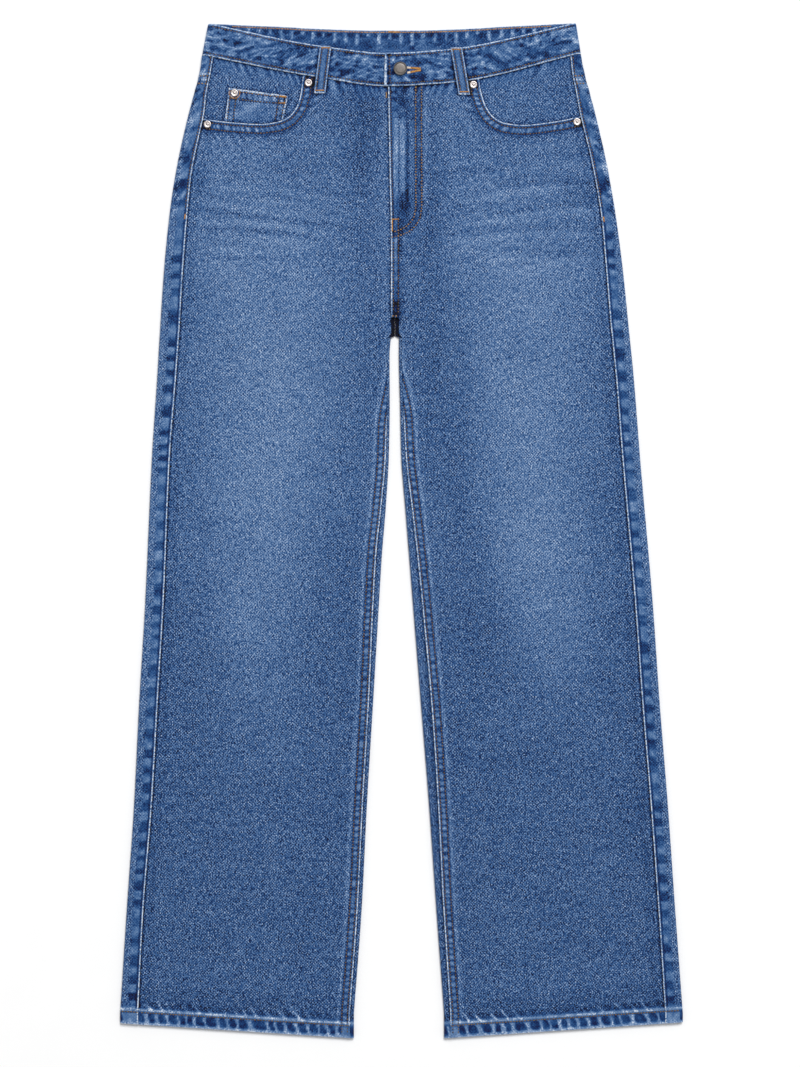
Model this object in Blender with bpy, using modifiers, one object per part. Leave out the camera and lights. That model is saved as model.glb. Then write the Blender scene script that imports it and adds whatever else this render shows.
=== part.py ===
"""Wide-leg five-pocket jeans, laid flat on a table with the front up.

Every size is in millimetres until a mesh is made. `down` is the distance below the highest point of
the waist, measured along the garment; x runs across it and z up from the table. The wearer's right
leg lies at -x. The garment lies as two layers: the back panels, yokes and the back of the waistband
on the table, and the fronts over them. Backs, yokes and waistband turn up round the side folds and
end on top at the side seams.
"""

from collections import namedtuple

import bpy
import bmesh
import numpy as np

MM = 0.001

# ---------------------------------------------------------------- driving sizes, in millimetres
LENGTH = 1076.0            # waist to hem, along the leg
CENTRE = -6.9              # x of the centre back seam and the crotch: the legs lie a little askew
CLOTH = 1.2                # one layer of denim
HEM_CLOTH = 2.2            # the turned hem
HEM_HEIGHT = 15.0
BAND_CLOTH = 2.4           # the waistband, two layers with their turnings
PATCH_CLOTH = 1.0          # a pocket patch, pressed thin
SEAM_GAP = 0.3             # between neighbouring pieces
CROTCH = 333.0             # down to the fork of the legs
FRONT_POINT = 312.0        # down to the point where the front seam ends, above the fork
FORK_REACH = 3.0           # the inseam's distance inside the inner fold just below the fork
FORK_EASE = 20.0           # the fronts rise to the inner folds over this length above the fork
FORK_LENGTH = 11.0         # width of seat cloth that turns into the inner fold below the fork
CROTCH_STRIP = 8.4         # width of back cloth that shows between the fronts, down to the fork
HEM_SIDE = 1060.0          # down to the hems at their outer ends

CROWN = 55.0               # how far in from a side fold the upper layer is still lifted by it
INNER_CROWN = 42.0         # the same at the inner folds
INNER_HEIGHT = 4.8         # height of the rolled inner folds

BAND_HEIGHT = 6.6          # both layers of the waistband, at the side folds
LAP_END = -17.5            # x where the upper end of the waistband stops
UNDERLAP_END = 20.7        # x where the lower end stops, under the upper one
LAP_LIFT = BAND_CLOTH + SEAM_GAP
LAP_RAMP = (24.0, 50.0)    # x over which the upper end comes down again
FLY_LIFT = CLOTH + SEAM_GAP
FLY_RAMP = 6.0             # width over which the doubled cloth of the fly thins out
FLY_FADE = 8.0             # and the length, below the end of the front seam
SEAM_TUCK = 8.0            # how far the right front reaches under the left at the fly edge

LOOP_SIZE = (12.2, 50.0, 1.2)     # belt loop: width, length, thickness
LOOP_ARCH = 1.2                   # how far a front loop stands off the band at its middle
LOOP_CLEAR = 1.5                  # a front loop goes on level this far below the band's edge
LOOP_STEP = 6.0                   # and comes down to the front panel over this length
LOOP_LIFT = 1.5                   # how far the back of the band rides up over a back loop
LOOP_WINDOW = (8.0, 28.0)         # half widths of that rise, at its top and at its foot
LOOP_LIFT_END = (62.0, 80.0)      # down to where that rise starts to end, and where it has ended
BACK_LOOP_STEP = 120.0

POCKET_LIFT = 1.5                 # the back panel rides up over its patch pocket
POCKET_ZONE = (126.0, 138.0, 304.0, 320.0)
POCKET_INSET = (0.83, 0.95)       # shares of the half back where that rise starts to end
BACK_POCKET = dict(inner=38.0, width=145.0, top=150.0, side=138.0, point=155.0, taper=8.0, tilt=5.0)

YOKE_SIDE = 62.0           # down to the yoke seam at the side folds
YOKE_CENTRE = 111.0        # and at the centre back
YOKE_LOOP_ROW = 60.0       # a row of the yoke just below the ends of the back loops

FACING_REACH = 10.0        # a pocket facing goes on under the front, past the mouth's inner end
FACING_END = 121.0         # down to its lower edge

BUTTON = dict(x=-1.3, down=49.3, radius=7.25, height=2.8)
RIVET = dict(radius=4.1, height=1.3)

# The outline of the garment as laid, and the width of the back's strip that shows beside the side seam.
Outline = namedtuple("Outline", "down fold_right fold_left strip_right strip_left")
OUTLINE = (
    Outline(0, -205.0, 185.0, 12.5, 11.5),
    Outline(34, -211.5, 190.3, 12.5, 11.7),
    Outline(55, -214.7, 194.5, 12.2, 13.5),
    Outline(71, -218.9, 198.8, 13.0, 14.5),
    Outline(103, -227.4, 207.2, 17.0, 16.5),
    Outline(151, -238.0, 218.0, 17.0, 15.7),
    Outline(198, -245.4, 226.3, 18.9, 15.6),
    Outline(262, -251.8, 234.8, 20.3, 18.0),
    Outline(325, -256.0, 241.2, 20.7, 19.1),
    Outline(378, -259.2, 246.5, 20.1, 19.1),
    Outline(458, -264.5, 252.8, 19.1, 19.1),
    Outline(617, -271.9, 266.6, 19.7, 19.0),
    Outline(723, -278.3, 274.0, 19.8, 18.7),
    Outline(829, -283.6, 282.5, 19.0, 18.4),
    Outline(935, -291.0, 289.9, 17.8, 18.0),
    Outline(1050, -298.4, 298.4, 19.3, 19.0),
)

# The inner folds of the legs, and how far inside them the inseams lie on top.
Fork = namedtuple("Fork", "down inner_right inner_left inseam_right inseam_left")
FORK = (
    Fork(333, -11.2, -2.6, 3.0, 3.0),
    Fork(352, -12.6, -2.8, 3.0, 3.0),
    Fork(405, -12.4, -1.6, 3.0, 3.4),
    Fork(458, -13.3, -0.4, 3.2, 4.8),
    Fork(511, -16.4, 3.7, 4.6, 6.8),
    Fork(564, -20.7, 8.0, 6.0, 8.6),
    Fork(617, -23.9, 12.2, 5.8, 9.8),
    Fork(723, -30.2, 20.7, 4.4, 11.0),
    Fork(829, -36.6, 29.2, 4.2, 9.5),
    Fork(935, -41.9, 36.6, 4.2, 7.5),
    Fork(1050, -50.4, 45.1, 4.2, 6.5),
)

# Height of the upper layer above the table along the garment, and of the side folds.
Level = namedtuple("Level", "down middle fold")
LEVELS = (
    Level(0, 5.8, 6.6),
    Level(75, 5.8, 6.4),
    Level(140, 4.3, 5.2),
    Level(325, 4.3, 5.2),
    Level(400, 2.8, 5.2),
    Level(985, 2.8, 5.2),
    Level(1044, 4.8, 5.2),
    Level(1076, 4.8, 5.2),
)

# The waistband's edges over the front and the back, from one side fold to the other.
BandEdge = namedtuple("BandEdge", "x down")
FRONT_TOP = (BandEdge(-205.0, 0.5), BandEdge(-86.4, 24.4), BandEdge(-10.0, 32.3),
             BandEdge(53.5, 27.6), BandEdge(185.0, 0.0))
FRONT_BOTTOM = (BandEdge(-211.5, 34.0), BandEdge(-91.7, 57.2), BandEdge(-12.0, 67.4),
                BandEdge(57.8, 62.9), BandEdge(190.3, 32.3))
BACK_TOP = (BandEdge(-205.0, 0.5), BandEdge(CENTRE, 8.0), BandEdge(185.0, 0.0))
BACK_BOTTOM = (BandEdge(-211.5, 34.0), BandEdge(CENTRE, 43.5), BandEdge(190.3, 32.3))

# The scooped pocket mouths, from their inner end at the waistband to the side seam.
Mouth = namedtuple("Mouth", "x down")
MOUTH_RIGHT = (Mouth(-104.4, 55.4), Mouth(-107.0, 76.0), Mouth(-111.5, 89.5), Mouth(-120.3, 99.8),
               Mouth(-133.0, 105.0), Mouth(-150.0, 107.0), Mouth(-178.0, 105.4), Mouth(-212.0, 101.6))
MOUTH_LEFT = (Mouth(81.6, 58.4), Mouth(84.6, 74.0), Mouth(89.6, 88.5), Mouth(98.0, 99.8),
              Mouth(110.0, 106.0), Mouth(128.0, 108.0), Mouth(160.0, 104.8), Mouth(196.0, 97.8))

# The fly's folded edge, and the line of the J seam that ends its doubled cloth.
Fly = namedtuple("Fly", "down edge doubled")
FLY = (Fly(60, -14.3, 24.0), Fly(182, -12.0, 24.0), Fly(205, -11.4, 17.0), Fly(222, -11.2, 6.0),
       Fly(232, -11.1, 0.5), Fly(320, -11.1, 0.5))

HEM_RIGHT = ((-298.4, 1060.0), (-51.4, 1076.0))
HEM_LEFT = ((45.5, 1076.0), (298.4, 1059.0))
COIN_POCKET = dict(top_outer=(-182.9, 68.9), top_inner=(-120.3, 77.4), foot_outer=-187.1, foot_inner=-125.6)

DENIM = (0.095, 0.170, 0.330)
DENIM_DARK = (0.070, 0.130, 0.265)
METAL_GREY = (0.30, 0.29, 0.28)
METAL_COPPER = (0.62, 0.50, 0.42)


# ---------------------------------------------------------------- curves and blends
def curve(stations, values):
    """A smooth curve through the stations that never overshoots between two of them."""
    stations = np.asarray(stations, dtype=float)
    values = np.asarray(values, dtype=float)
    step = np.diff(stations)
    slope = np.diff(values) / step
    tangent = np.concatenate(([slope[0]], np.zeros(len(slope) - 1), [slope[-1]]))
    for i in range(1, len(slope)):
        if slope[i - 1] * slope[i] > 0:
            tangent[i] = 2 * slope[i - 1] * slope[i] / (slope[i - 1] + slope[i])

    def at(position):
        position = np.clip(position, stations[0], stations[-1])
        i = np.clip(np.searchsorted(stations, position, side="right") - 1, 0, len(step) - 1)
        u = (position - stations[i]) / step[i]
        rise = u * u * (3 - 2 * u)
        leave = u * (1 - u) ** 2 * step[i] * tangent[i]
        arrive = u * u * (u - 1) * step[i] * tangent[i + 1]
        return (1 - rise) * values[i] + rise * values[i + 1] + leave + arrive
    return at


def read(table, key, name):
    """The column `name` of a table as a curve along its column `key`."""
    rows = sorted(table, key=lambda row: getattr(row, key))
    return curve([getattr(row, key) for row in rows], [getattr(row, name) for row in rows])


def ease(share):
    share = np.clip(share, 0.0, 1.0)
    return share * share * (3 - 2 * share)


def mix(a, b, share):
    return a + (b - a) * share


# ---------------------------------------------------------------- the two halves of the garment
Side = namedtuple("Side", "name out fold strip inner inseam hem mouth mouth_end")


def make_side(name, out, hem, mouth):
    return Side(
        name=name,
        out=out,
        fold=read(OUTLINE, "down", "fold_" + name),
        strip=read(OUTLINE, "down", "strip_" + name),
        inner=read(FORK, "down", "inner_" + name),
        inseam=read(FORK, "down", "inseam_" + name),
        hem=lambda x: np.interp(x, [point[0] for point in hem], [point[1] for point in hem]),
        mouth=read(mouth, "x", "down"),
        mouth_end=mouth[0].x,
    )


RIGHT = make_side("right", -1, HEM_RIGHT, MOUTH_RIGHT)
LEFT = make_side("left", 1, HEM_LEFT, MOUTH_LEFT)
SIDES = (RIGHT, LEFT)

middle_level = read(LEVELS, "down", "middle")
fold_height = read(LEVELS, "down", "fold")
front_top = read(FRONT_TOP, "x", "down")
front_bottom = read(FRONT_BOTTOM, "x", "down")
back_top = read(BACK_TOP, "x", "down")


def back_bottom(x):
    """The back's lower edge of the waistband falls straight from each side fold to the centre."""
    return np.interp(x, [point.x for point in BACK_BOTTOM], [point.down for point in BACK_BOTTOM])


fly_edge = read(FLY, "down", "edge")
fly_doubled = read(FLY, "down", "doubled")
BACK_LOOPS = {
    "right": CENTRE - BACK_LOOP_STEP,
    "center": CENTRE,
    "left": CENTRE + BACK_LOOP_STEP,
}


def upper_face(side, x, down):
    """Height of the upper layer's outer face: low in the middle, lifted by the folds on each side."""
    level = middle_level(down)
    height = fold_height(down)
    from_fold = side.out * (side.fold(down) - x) - height / 2
    outer = (height - level) * ease(1 - from_fold / CROWN)
    from_inner = side.out * (x - side.inner(down)) - INNER_HEIGHT / 2
    below_fork = ease((down - CROTCH + FORK_EASE) / FORK_EASE)
    inner = (INNER_HEIGHT - level) * ease(1 - from_inner / INNER_CROWN) * below_fork
    return level + outer + inner


def table_lift(side, x, down):
    """How far the lower layer rides up over the patch pockets and the back belt loops."""
    half = side.out * (side.fold(down) - CENTRE)
    share = side.out * (x - CENTRE) / half
    across = ease((POCKET_INSET[1] - share) / (POCKET_INSET[1] - POCKET_INSET[0]))
    starts, full, leaves, ends = POCKET_ZONE
    along = ease((down - starts) / (full - starts)) * ease((ends - down) / (ends - leaves))
    lift = POCKET_LIFT * across * along
    for loop_x in BACK_LOOPS.values():
        near = ease((LOOP_WINDOW[1] - abs(x - loop_x)) / (LOOP_WINDOW[1] - LOOP_WINDOW[0]))
        ending = ease((LOOP_LIFT_END[1] - down) / (LOOP_LIFT_END[1] - LOOP_LIFT_END[0]))
        lift = max(lift, LOOP_LIFT * near * ending)
    return lift


def cloth_at(side, x, down):
    """Thickness of a leg panel, which doubles where the hem is turned."""
    into_hem = HEM_HEIGHT + 1.0 - (side.hem(x) - down)
    return mix(CLOTH, HEM_CLOTH, float(np.clip(into_hem, 0.0, 1.0)))


def fly_lift(x, down):
    """The left front rides over the right one at the fly, as far as its doubled cloth goes."""
    across = ease(1 - (x - fly_doubled(down)) / FLY_RAMP)
    return FLY_LIFT * across * ease((FRONT_POINT + FLY_FADE - down) / FLY_FADE)


# ---------------------------------------------------------------- meshes
def material(name, color, roughness, metallic=0.0):
    shader = bpy.data.materials.get(name)
    if shader is None:
        shader = bpy.data.materials.new(name)
        shader.use_nodes = True
        node = shader.node_tree.nodes["Principled BSDF"]
        node.inputs["Base Color"].default_value = (*color, 1.0)
        node.inputs["Roughness"].default_value = roughness
        node.inputs["Metallic"].default_value = metallic
        shader.diffuse_color = (*color, 1.0)
    return shader


def add_object(name, mesh, look):
    piece = bpy.data.objects.new(name, mesh)
    mesh.materials.append(material(*look))
    bpy.data.collections["wide_leg_jeans"].objects.link(piece)
    return piece


def to_world(x, down, z):
    return (x * MM, (LENGTH / 2 - down) * MM, z * MM)


def wall(name, outer, inner, look):
    """A closed cloth wall between two matching grids of (x, down, z) points, an outer and an inner skin."""
    rows, columns = len(outer), len(outer[0])
    bm = bmesh.new()
    skins = [[[bm.verts.new(to_world(*point)) for point in row] for row in skin] for skin in (outer, inner)]
    for skin in skins:
        for i in range(rows - 1):
            for j in range(columns - 1):
                bm.faces.new((skin[i][j], skin[i][j + 1], skin[i + 1][j + 1], skin[i + 1][j]))
    rim = [(i, 0) for i in range(rows - 1)] + [(rows - 1, j) for j in range(columns - 1)]
    rim += [(i, columns - 1) for i in range(rows - 1, 0, -1)] + [(0, j) for j in range(columns - 1, 0, -1)]
    for (i, j), (k, m) in zip(rim, rim[1:] + rim[:1]):
        bm.faces.new((skins[0][i][j], skins[0][k][m], skins[1][k][m], skins[1][i][j]))
    bmesh.ops.recalc_face_normals(bm, faces=bm.faces)
    mesh = bpy.data.meshes.new(name)
    bm.to_mesh(mesh)
    bm.free()
    mesh.shade_smooth()
    mesh.set_sharp_from_angle(angle=np.radians(40))
    return add_object(name, mesh, look)


DENIM_LOOK = ("denim", DENIM, 0.9)
BACK_LOOK = ("denim_back", DENIM_DARK, 0.9)
BAND_LOOK = ("denim_band", DENIM, 0.9)


# ---------------------------------------------------------------- lower layer: backs and yokes
FOLD_STEPS = 5
TOP_SHARES = (0.0, 0.35, 0.7)
TURN_SHARES = tuple(i / FOLD_STEPS for i in range(FOLD_STEPS))
PANEL_FLOOR = (0.0, 0.05, 0.17, 0.30, 0.45, 0.60, 0.75, 0.90)


def yoke_floor_shares():
    """Stations across the yoke, from the side fold in, with a pair on each side of every belt loop."""
    top, foot = LOOP_WINDOW
    half = RIGHT.out * (RIGHT.fold(YOKE_SIDE) - CENTRE) - FORK_LENGTH
    from_centre = [BACK_LOOP_STEP + reach for reach in (foot, top, -top, -foot)] + [foot]
    return [0.0, 0.12] + [1 - (distance - FORK_LENGTH) / half for distance in from_centre]


def lower_columns(floor_shares):
    columns = [("strip", share) for share in TOP_SHARES]
    columns += [("turn", share) for share in TURN_SHARES]
    columns += [("floor", share) for share in floor_shares]
    columns += [("curl", share) for share in TURN_SHARES]
    columns += [("tip", 0.0), ("tip", 1.0)]
    return columns


def lower_point(side, column, down):
    """A point on the outer skin of the lower layer and its outward direction, as (x, z) and (nx, nz)."""
    zone, share = column
    out, fold = side.out, side.fold(down)
    radius = fold_height(down) / 2
    is_leg = down >= CROTCH
    small = INNER_HEIGHT / 2
    if zone == "strip":
        x = fold - out * mix(side.strip(down) - SEAM_GAP / 2, radius, share)
        return (x, upper_face(side, x, down)), (0.0, 1.0)
    if zone == "turn":
        angle = np.pi * (0.5 - share)
        normal = (out * np.cos(angle), np.sin(angle))
        return (fold - out * radius + radius * normal[0], radius + radius * normal[1]), normal
    floor_start = fold - out * radius
    if zone == "floor":
        floor_end = side.inner(down) + out * small if is_leg else CENTRE + out * FORK_LENGTH
        x = mix(floor_start, floor_end, share)
        return (x, table_lift(side, x, down)), (0.0, -1.0)
    if not is_leg:
        reach = {"curl": mix(FORK_LENGTH, FORK_REACH, share), "tip": mix(FORK_REACH, SEAM_GAP / 2, share)}
        x = CENTRE + out * reach[zone]
        return (x, table_lift(side, x, down)), (0.0, -1.0)
    if zone == "curl":
        angle = np.pi * (share - 0.5)
        normal = (-out * np.cos(angle), np.sin(angle))
        return (side.inner(down) + out * small + small * normal[0], small + small * normal[1]), normal
    x = side.inner(down) + out * mix(small, max(side.inseam(down), FORK_REACH) - SEAM_GAP / 2, share)
    return (x, upper_face(side, x, down)), (0.0, 1.0)


def lower_skins(side, columns, row_downs):
    """Both skins of a lower piece. row_downs(column) gives the downs of that column's points."""
    outer, inner = [], []
    for column in columns:
        outer_line, inner_line = [], []
        for down in row_downs(column):
            (x, z), (nx, nz) = lower_point(side, column, down)
            thick = cloth_at(side, x, down)
            outer_line.append((x, down, z))
            inner_line.append((x - thick * nx, down, z - thick * nz))
        outer.append(outer_line)
        inner.append(inner_line)
    return list(zip(*outer)), list(zip(*inner))


def yoke_seam(side, column):
    """The yoke seam runs level round the side fold, then drops in a straight line to the centre back."""
    if column[0] in ("strip", "turn"):
        return YOKE_SIDE
    start = side.fold(YOKE_SIDE) - side.out * fold_height(YOKE_SIDE) / 2
    down = YOKE_SIDE
    for _ in range(6):
        x = lower_point(side, column, down)[0][0]
        down = YOKE_SIDE + (YOKE_CENTRE - YOKE_SIDE) * (x - start) / (CENTRE - start)
    return down


def band_edge(side, column):
    """The waistband's lower edge, over the front on the strip and over the back on the floor."""
    zone, share = column
    guess = 34.0
    if zone == "turn":
        start = side.fold(guess) - side.out * fold_height(guess) / 2
        return mix(float(front_bottom(start)), float(back_bottom(start)), share)
    for _ in range(4):
        x = lower_point(side, column, guess)[0][0]
        guess = float(front_bottom(x) if zone == "strip" else back_bottom(x))
    return guess


def make_yoke(side):
    columns = lower_columns(yoke_floor_shares())

    def downs(column):
        top = band_edge(side, column) + SEAM_GAP
        bottom = yoke_seam(side, column) - SEAM_GAP / 2
        below_loop = min(YOKE_LOOP_ROW, mix(top, bottom, 0.55))
        return [top, below_loop, mix(below_loop, bottom, 0.5), bottom]
    outer, inner = lower_skins(side, columns, downs)
    return wall("yoke_" + side.name, outer, inner, BACK_LOOK)


POINT_STEP = 0.6           # the fronts step apart over twice this length at the end of the front seam
YOKE_CLEAR = 6.0           # least distance from the yoke seam to the next row of the back
SEAT_ROWS = (126, 138, 170, 215, 260, 304, 320, 328)
LEG_ROWS = (340, 352, 375, 405, 455, 510, 565, 620, 680, 740, 800, 860, 920, 980)
HEM_ROWS = (17.0, 16.0, 15.0, 7.5, 0.0)          # distances above the hem's edge


def hem_downs(side, x):
    """Rows near the hem, which runs at a slant across the leg."""
    edge = float(side.hem(x))
    return [mix(LEG_ROWS[-1], edge - HEM_ROWS[0], 0.5)] + [edge - rise for rise in HEM_ROWS]


def make_back(side):
    columns = lower_columns(PANEL_FLOOR)

    def downs(column):
        top = yoke_seam(side, column) + SEAM_GAP / 2
        first = max(SEAT_ROWS[0], top + YOKE_CLEAR)
        seat = [mix(top, first, 0.5), first] + list(SEAT_ROWS[1:])
        x_hem = lower_point(side, column, HEM_SIDE)[0][0]
        return [top] + seat + list(LEG_ROWS) + hem_downs(side, x_hem)
    outer, inner = lower_skins(side, columns, downs)
    return wall("back_" + side.name, outer, inner, BACK_LOOK)


# ---------------------------------------------------------------- upper layer: fronts and pocket pieces
def front_inner_x(side, down):
    """The front's edge at the fly, at the step where its seam ends, and along the inseam."""
    if down >= CROTCH:
        return side.inner(down) + side.out * (max(side.inseam(down), FORK_REACH) + SEAM_GAP / 2)
    if down > FRONT_POINT:
        share = ease((down - FRONT_POINT) / (CROTCH - FRONT_POINT))
        at_fork = side.inner(CROTCH) + side.out * (FORK_REACH + SEAM_GAP / 2)
        return mix(CENTRE + side.out * CROTCH_STRIP / 2, at_fork, share)
    return fly_edge(down) + (SEAM_TUCK if side.out < 0 else 0.0)


def front_outer_x(side, down):
    return side.fold(down) - side.out * (side.strip(down) + SEAM_GAP / 2)


def front_x(side, share, down):
    return mix(front_inner_x(side, down), front_outer_x(side, down), share)


FRONT_SHARES = {
    "right": (0.0, 0.08, 0.18, 0.30, 0.40, 0.4765, 0.483, 0.492, 0.506, 0.526, 0.553, 0.588, 0.635, 0.73,
              0.83, 0.92, 1.0),
    "left": (0.0, 0.045, 0.085, 0.14, 0.185, 0.215, 0.30, 0.40, 0.4735, 0.481, 0.491, 0.508, 0.530, 0.560,
             0.605, 0.69, 0.82, 0.92, 1.0),
}


def front_top_down(side, share):
    """The front's upper edge: the waistband's edge, then the pocket mouth."""
    guess = 80.0
    for _ in range(12):
        x = front_x(side, share, guess)
        inside = side.out * (x - side.mouth_end) <= 0
        target = float(front_bottom(x)) + SEAM_GAP if inside else float(side.mouth(x)) + SEAM_GAP
        guess = mix(guess, target, 0.6)
    return guess


def make_front(side):
    outer, inner = [], []
    for share in FRONT_SHARES[side.name]:
        top = front_top_down(side, share)
        x_hem = front_x(side, share, HEM_SIDE)
        seat = [mix(top, SEAT_ROWS[0], 0.5)] + list(SEAT_ROWS[:5])
        seat += [FRONT_POINT - POINT_STEP, FRONT_POINT + POINT_STEP, SEAT_ROWS[-1]]
        outer_line, inner_line = [], []
        for down in [top] + seat + list(LEG_ROWS) + hem_downs(side, x_hem):
            x = front_x(side, share, down)
            z = upper_face(side, x, down) + (fly_lift(x, down) if side.out > 0 else 0.0)
            outer_line.append((x, down, z))
            inner_line.append((x, down, z - cloth_at(side, x, down)))
        outer.append(outer_line)
        inner.append(inner_line)
    return wall("front_" + side.name, list(zip(*outer)), list(zip(*inner)), DENIM_LOOK)


def facing_face(side, x, down):
    return upper_face(side, x, down) - CLOTH - SEAM_GAP


def make_facing(side):
    """The denim that shows inside a pocket mouth, from the waistband and the side seam to under the front."""
    outer, inner = [], []
    for share in (0.0, 0.2, 0.4, 0.6, 0.8, 0.92, 1.0):
        outer_line, inner_line = [], []
        for fall in (0.0, 0.35, 0.7, 1.0):
            down = 60.0
            for _ in range(4):
                x = mix(side.mouth_end - side.out * FACING_REACH, front_outer_x(side, down), share)
                down = mix(float(front_bottom(x)) + SEAM_GAP, FACING_END, fall)
            z = facing_face(side, x, down)
            outer_line.append((x, down, z))
            inner_line.append((x, down, z - CLOTH))
        outer.append(outer_line)
        inner.append(inner_line)
    return wall("pocket_facing_" + side.name, list(zip(*outer)), list(zip(*inner)), BACK_LOOK)


def make_coin_pocket():
    """The small pocket on the right facing. Its foot ends at the mouth's edge."""
    outer, inner = [], []
    (x_out, down_out), (x_in, down_in) = COIN_POCKET["top_outer"], COIN_POCKET["top_inner"]
    for share in (0.0, 0.33, 0.67, 1.0):
        top_x, top_down = mix(x_out, x_in, share), mix(down_out, down_in, share)
        foot_x = mix(COIN_POCKET["foot_outer"], COIN_POCKET["foot_inner"], share)
        foot_down = float(RIGHT.mouth(foot_x)) - SEAM_GAP
        outer_line, inner_line = [], []
        for fall in (0.0, 0.5, 1.0):
            x, down = mix(top_x, foot_x, fall), mix(top_down, foot_down, fall)
            z = facing_face(RIGHT, x, down) + SEAM_GAP
            outer_line.append((x, down, z + PATCH_CLOTH))
            inner_line.append((x, down, z))
        outer.append(outer_line)
        inner.append(inner_line)
    return wall("coin_pocket", list(zip(*outer)), list(zip(*inner)), DENIM_LOOK)


# ---------------------------------------------------------------- waistband
EDGE_ROLL = 0.45           # the band's edges are rounded down by this much
BAND_ROWS = ((0.0, EDGE_ROLL), (0.05, 0.0), (0.5, 0.0), (0.95, 0.0), (1.0, EDGE_ROLL))


def band_line(edge_top, edge_bottom, ends, x_top, share):
    """The x and down of a point at `share` of the band's height, on the cross line that starts at x_top."""
    (top_right, bottom_right), (top_left, bottom_left) = ends
    across = (x_top - top_right) / (top_left - top_right)
    x_bottom = mix(bottom_right, bottom_left, across)
    return mix(x_top, x_bottom, share), mix(float(edge_top(x_top)), float(edge_bottom(x_bottom)), share)


def lap_lift(x):
    return LAP_LIFT * ease((LAP_RAMP[1] - x) / (LAP_RAMP[1] - LAP_RAMP[0]))


def waistband_columns():
    """Stations along the band, from its lower end round both side folds to its upper end."""
    fold_right, fold_left = FRONT_TOP[0].x, FRONT_TOP[-1].x
    radius = BAND_HEIGHT / 2
    columns = [("front", x, 0.0) for x in np.linspace(UNDERLAP_END, fold_right + radius, 11)]
    turns = [(i + 1) / FOLD_STEPS for i in range(FOLD_STEPS - 1)]
    columns += [("turn_right", fold_right + radius, share) for share in turns]
    back = [fold_right + radius]
    for loop_x in BACK_LOOPS.values():
        back += [loop_x + reach for reach in (-LOOP_WINDOW[1], -LOOP_WINDOW[0], *LOOP_WINDOW)]
    back += [fold_left - radius]
    columns += [("back", x, 0.0) for x in back]
    columns += [("turn_left", fold_left - radius, 1 - share) for share in turns]
    lap = [*np.linspace(fold_left - radius, LAP_RAMP[1], 8), 41, 33, LAP_RAMP[0], 3, LAP_END]
    columns += [("lap", x, 0.0) for x in lap]
    return columns


def band_point(column, share):
    """A point on the band's outer skin and its outward direction."""
    zone, x_top, turn = column
    ends = ((FRONT_TOP[0].x, FRONT_BOTTOM[0].x), (FRONT_TOP[-1].x, FRONT_BOTTOM[-1].x))
    if zone == "back":
        x, down = band_line(back_top, back_bottom, ends, x_top, share)
        side = RIGHT if x < CENTRE else LEFT
        return (x, down, table_lift(side, x, down)), (0.0, -1.0)
    x, down = band_line(front_top, front_bottom, ends, x_top, share)
    if zone == "front":
        return (x, down, BAND_HEIGHT), (0.0, 1.0)
    if zone == "lap":
        return (x, down, BAND_HEIGHT + lap_lift(x)), (0.0, 1.0)
    out = -1 if zone == "turn_right" else 1
    radius = BAND_HEIGHT / 2
    angle = np.pi * (0.5 - turn)
    nx, nz = out * np.cos(angle), np.sin(angle)
    level = mix(down, band_line(back_top, back_bottom, ends, x_top, share)[1], turn)
    return (x + radius * nx, level, radius + radius * nz), (nx, nz)


def make_waistband():
    outer, inner = [], []
    for column in waistband_columns():
        outer_line, inner_line = [], []
        for share, roll in BAND_ROWS:
            (x, down, z), (nx, nz) = band_point(column, share)
            outer_line.append((x - roll * nx, down, z - roll * nz))
            inner_line.append((x - BAND_CLOTH * nx, down, z - BAND_CLOTH * nz))
        outer.append(outer_line)
        inner.append(inner_line)
    return wall("waistband", list(zip(*outer)), list(zip(*inner)), BAND_LOOK)


# ---------------------------------------------------------------- belt loops
FRONT_LOOPS = {"right": ((-80.3, 24.9), (-86.7, 74.8)), "left": ((58.0, 26.5), (66.5, 76.3))}


def make_front_loop(side):
    """A strip over the waistband, sewn down at both ends and standing off it a little between them."""
    width, _, thick = LOOP_SIZE
    (x0, down0), (x1, down1) = FRONT_LOOPS[side.name]
    outer, inner = [], []
    for share in (0.0, 0.08, 0.2, 0.35, 0.5, 0.62, 0.70, 0.78, 0.86, 0.93, 1.0):
        x, down = mix(x0, x1, share), mix(down0, down1, share)
        past_band = ease((down - float(front_bottom(x)) - LOOP_CLEAR) / LOOP_STEP)
        carried = mix(BAND_HEIGHT, upper_face(side, x, down), past_band)
        arch = LOOP_ARCH * ease(share / 0.3) * ease((1 - share) / 0.35)
        z = carried + SEAM_GAP + arch
        offsets = (-width / 2, -width / 2 + 1.0, width / 2 - 1.0, width / 2)
        rolls = (0.35, 0.0, 0.0, 0.35)
        outer.append([(x + offset, down, z + thick - roll) for offset, roll in zip(offsets, rolls)])
        inner.append([(x + offset, down, z) for offset in offsets])
    return wall("belt_loop_front_" + side.name, outer, inner, BAND_LOOK)


def make_back_loop(name, x):
    width, length, thick = LOOP_SIZE
    middle = float(back_top(x)) + length / 2
    bpy.ops.mesh.primitive_cube_add(size=1.0, location=to_world(x, middle, thick / 2))
    piece = bpy.context.object
    piece.scale = (width * MM, length * MM, thick * MM)
    bpy.ops.object.transform_apply(location=False, rotation=False, scale=True)
    return adopt(piece, "belt_loop_back_" + name, BAND_LOOK)


def adopt(piece, name, look):
    """Name a primitive, give it its material and move it into the garment's collection."""
    piece.name = name
    piece.data.name = name
    piece.data.materials.append(material(*look))
    for collection in list(piece.users_collection):
        collection.objects.unlink(piece)
    bpy.data.collections["wide_leg_jeans"].objects.link(piece)
    return piece


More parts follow.
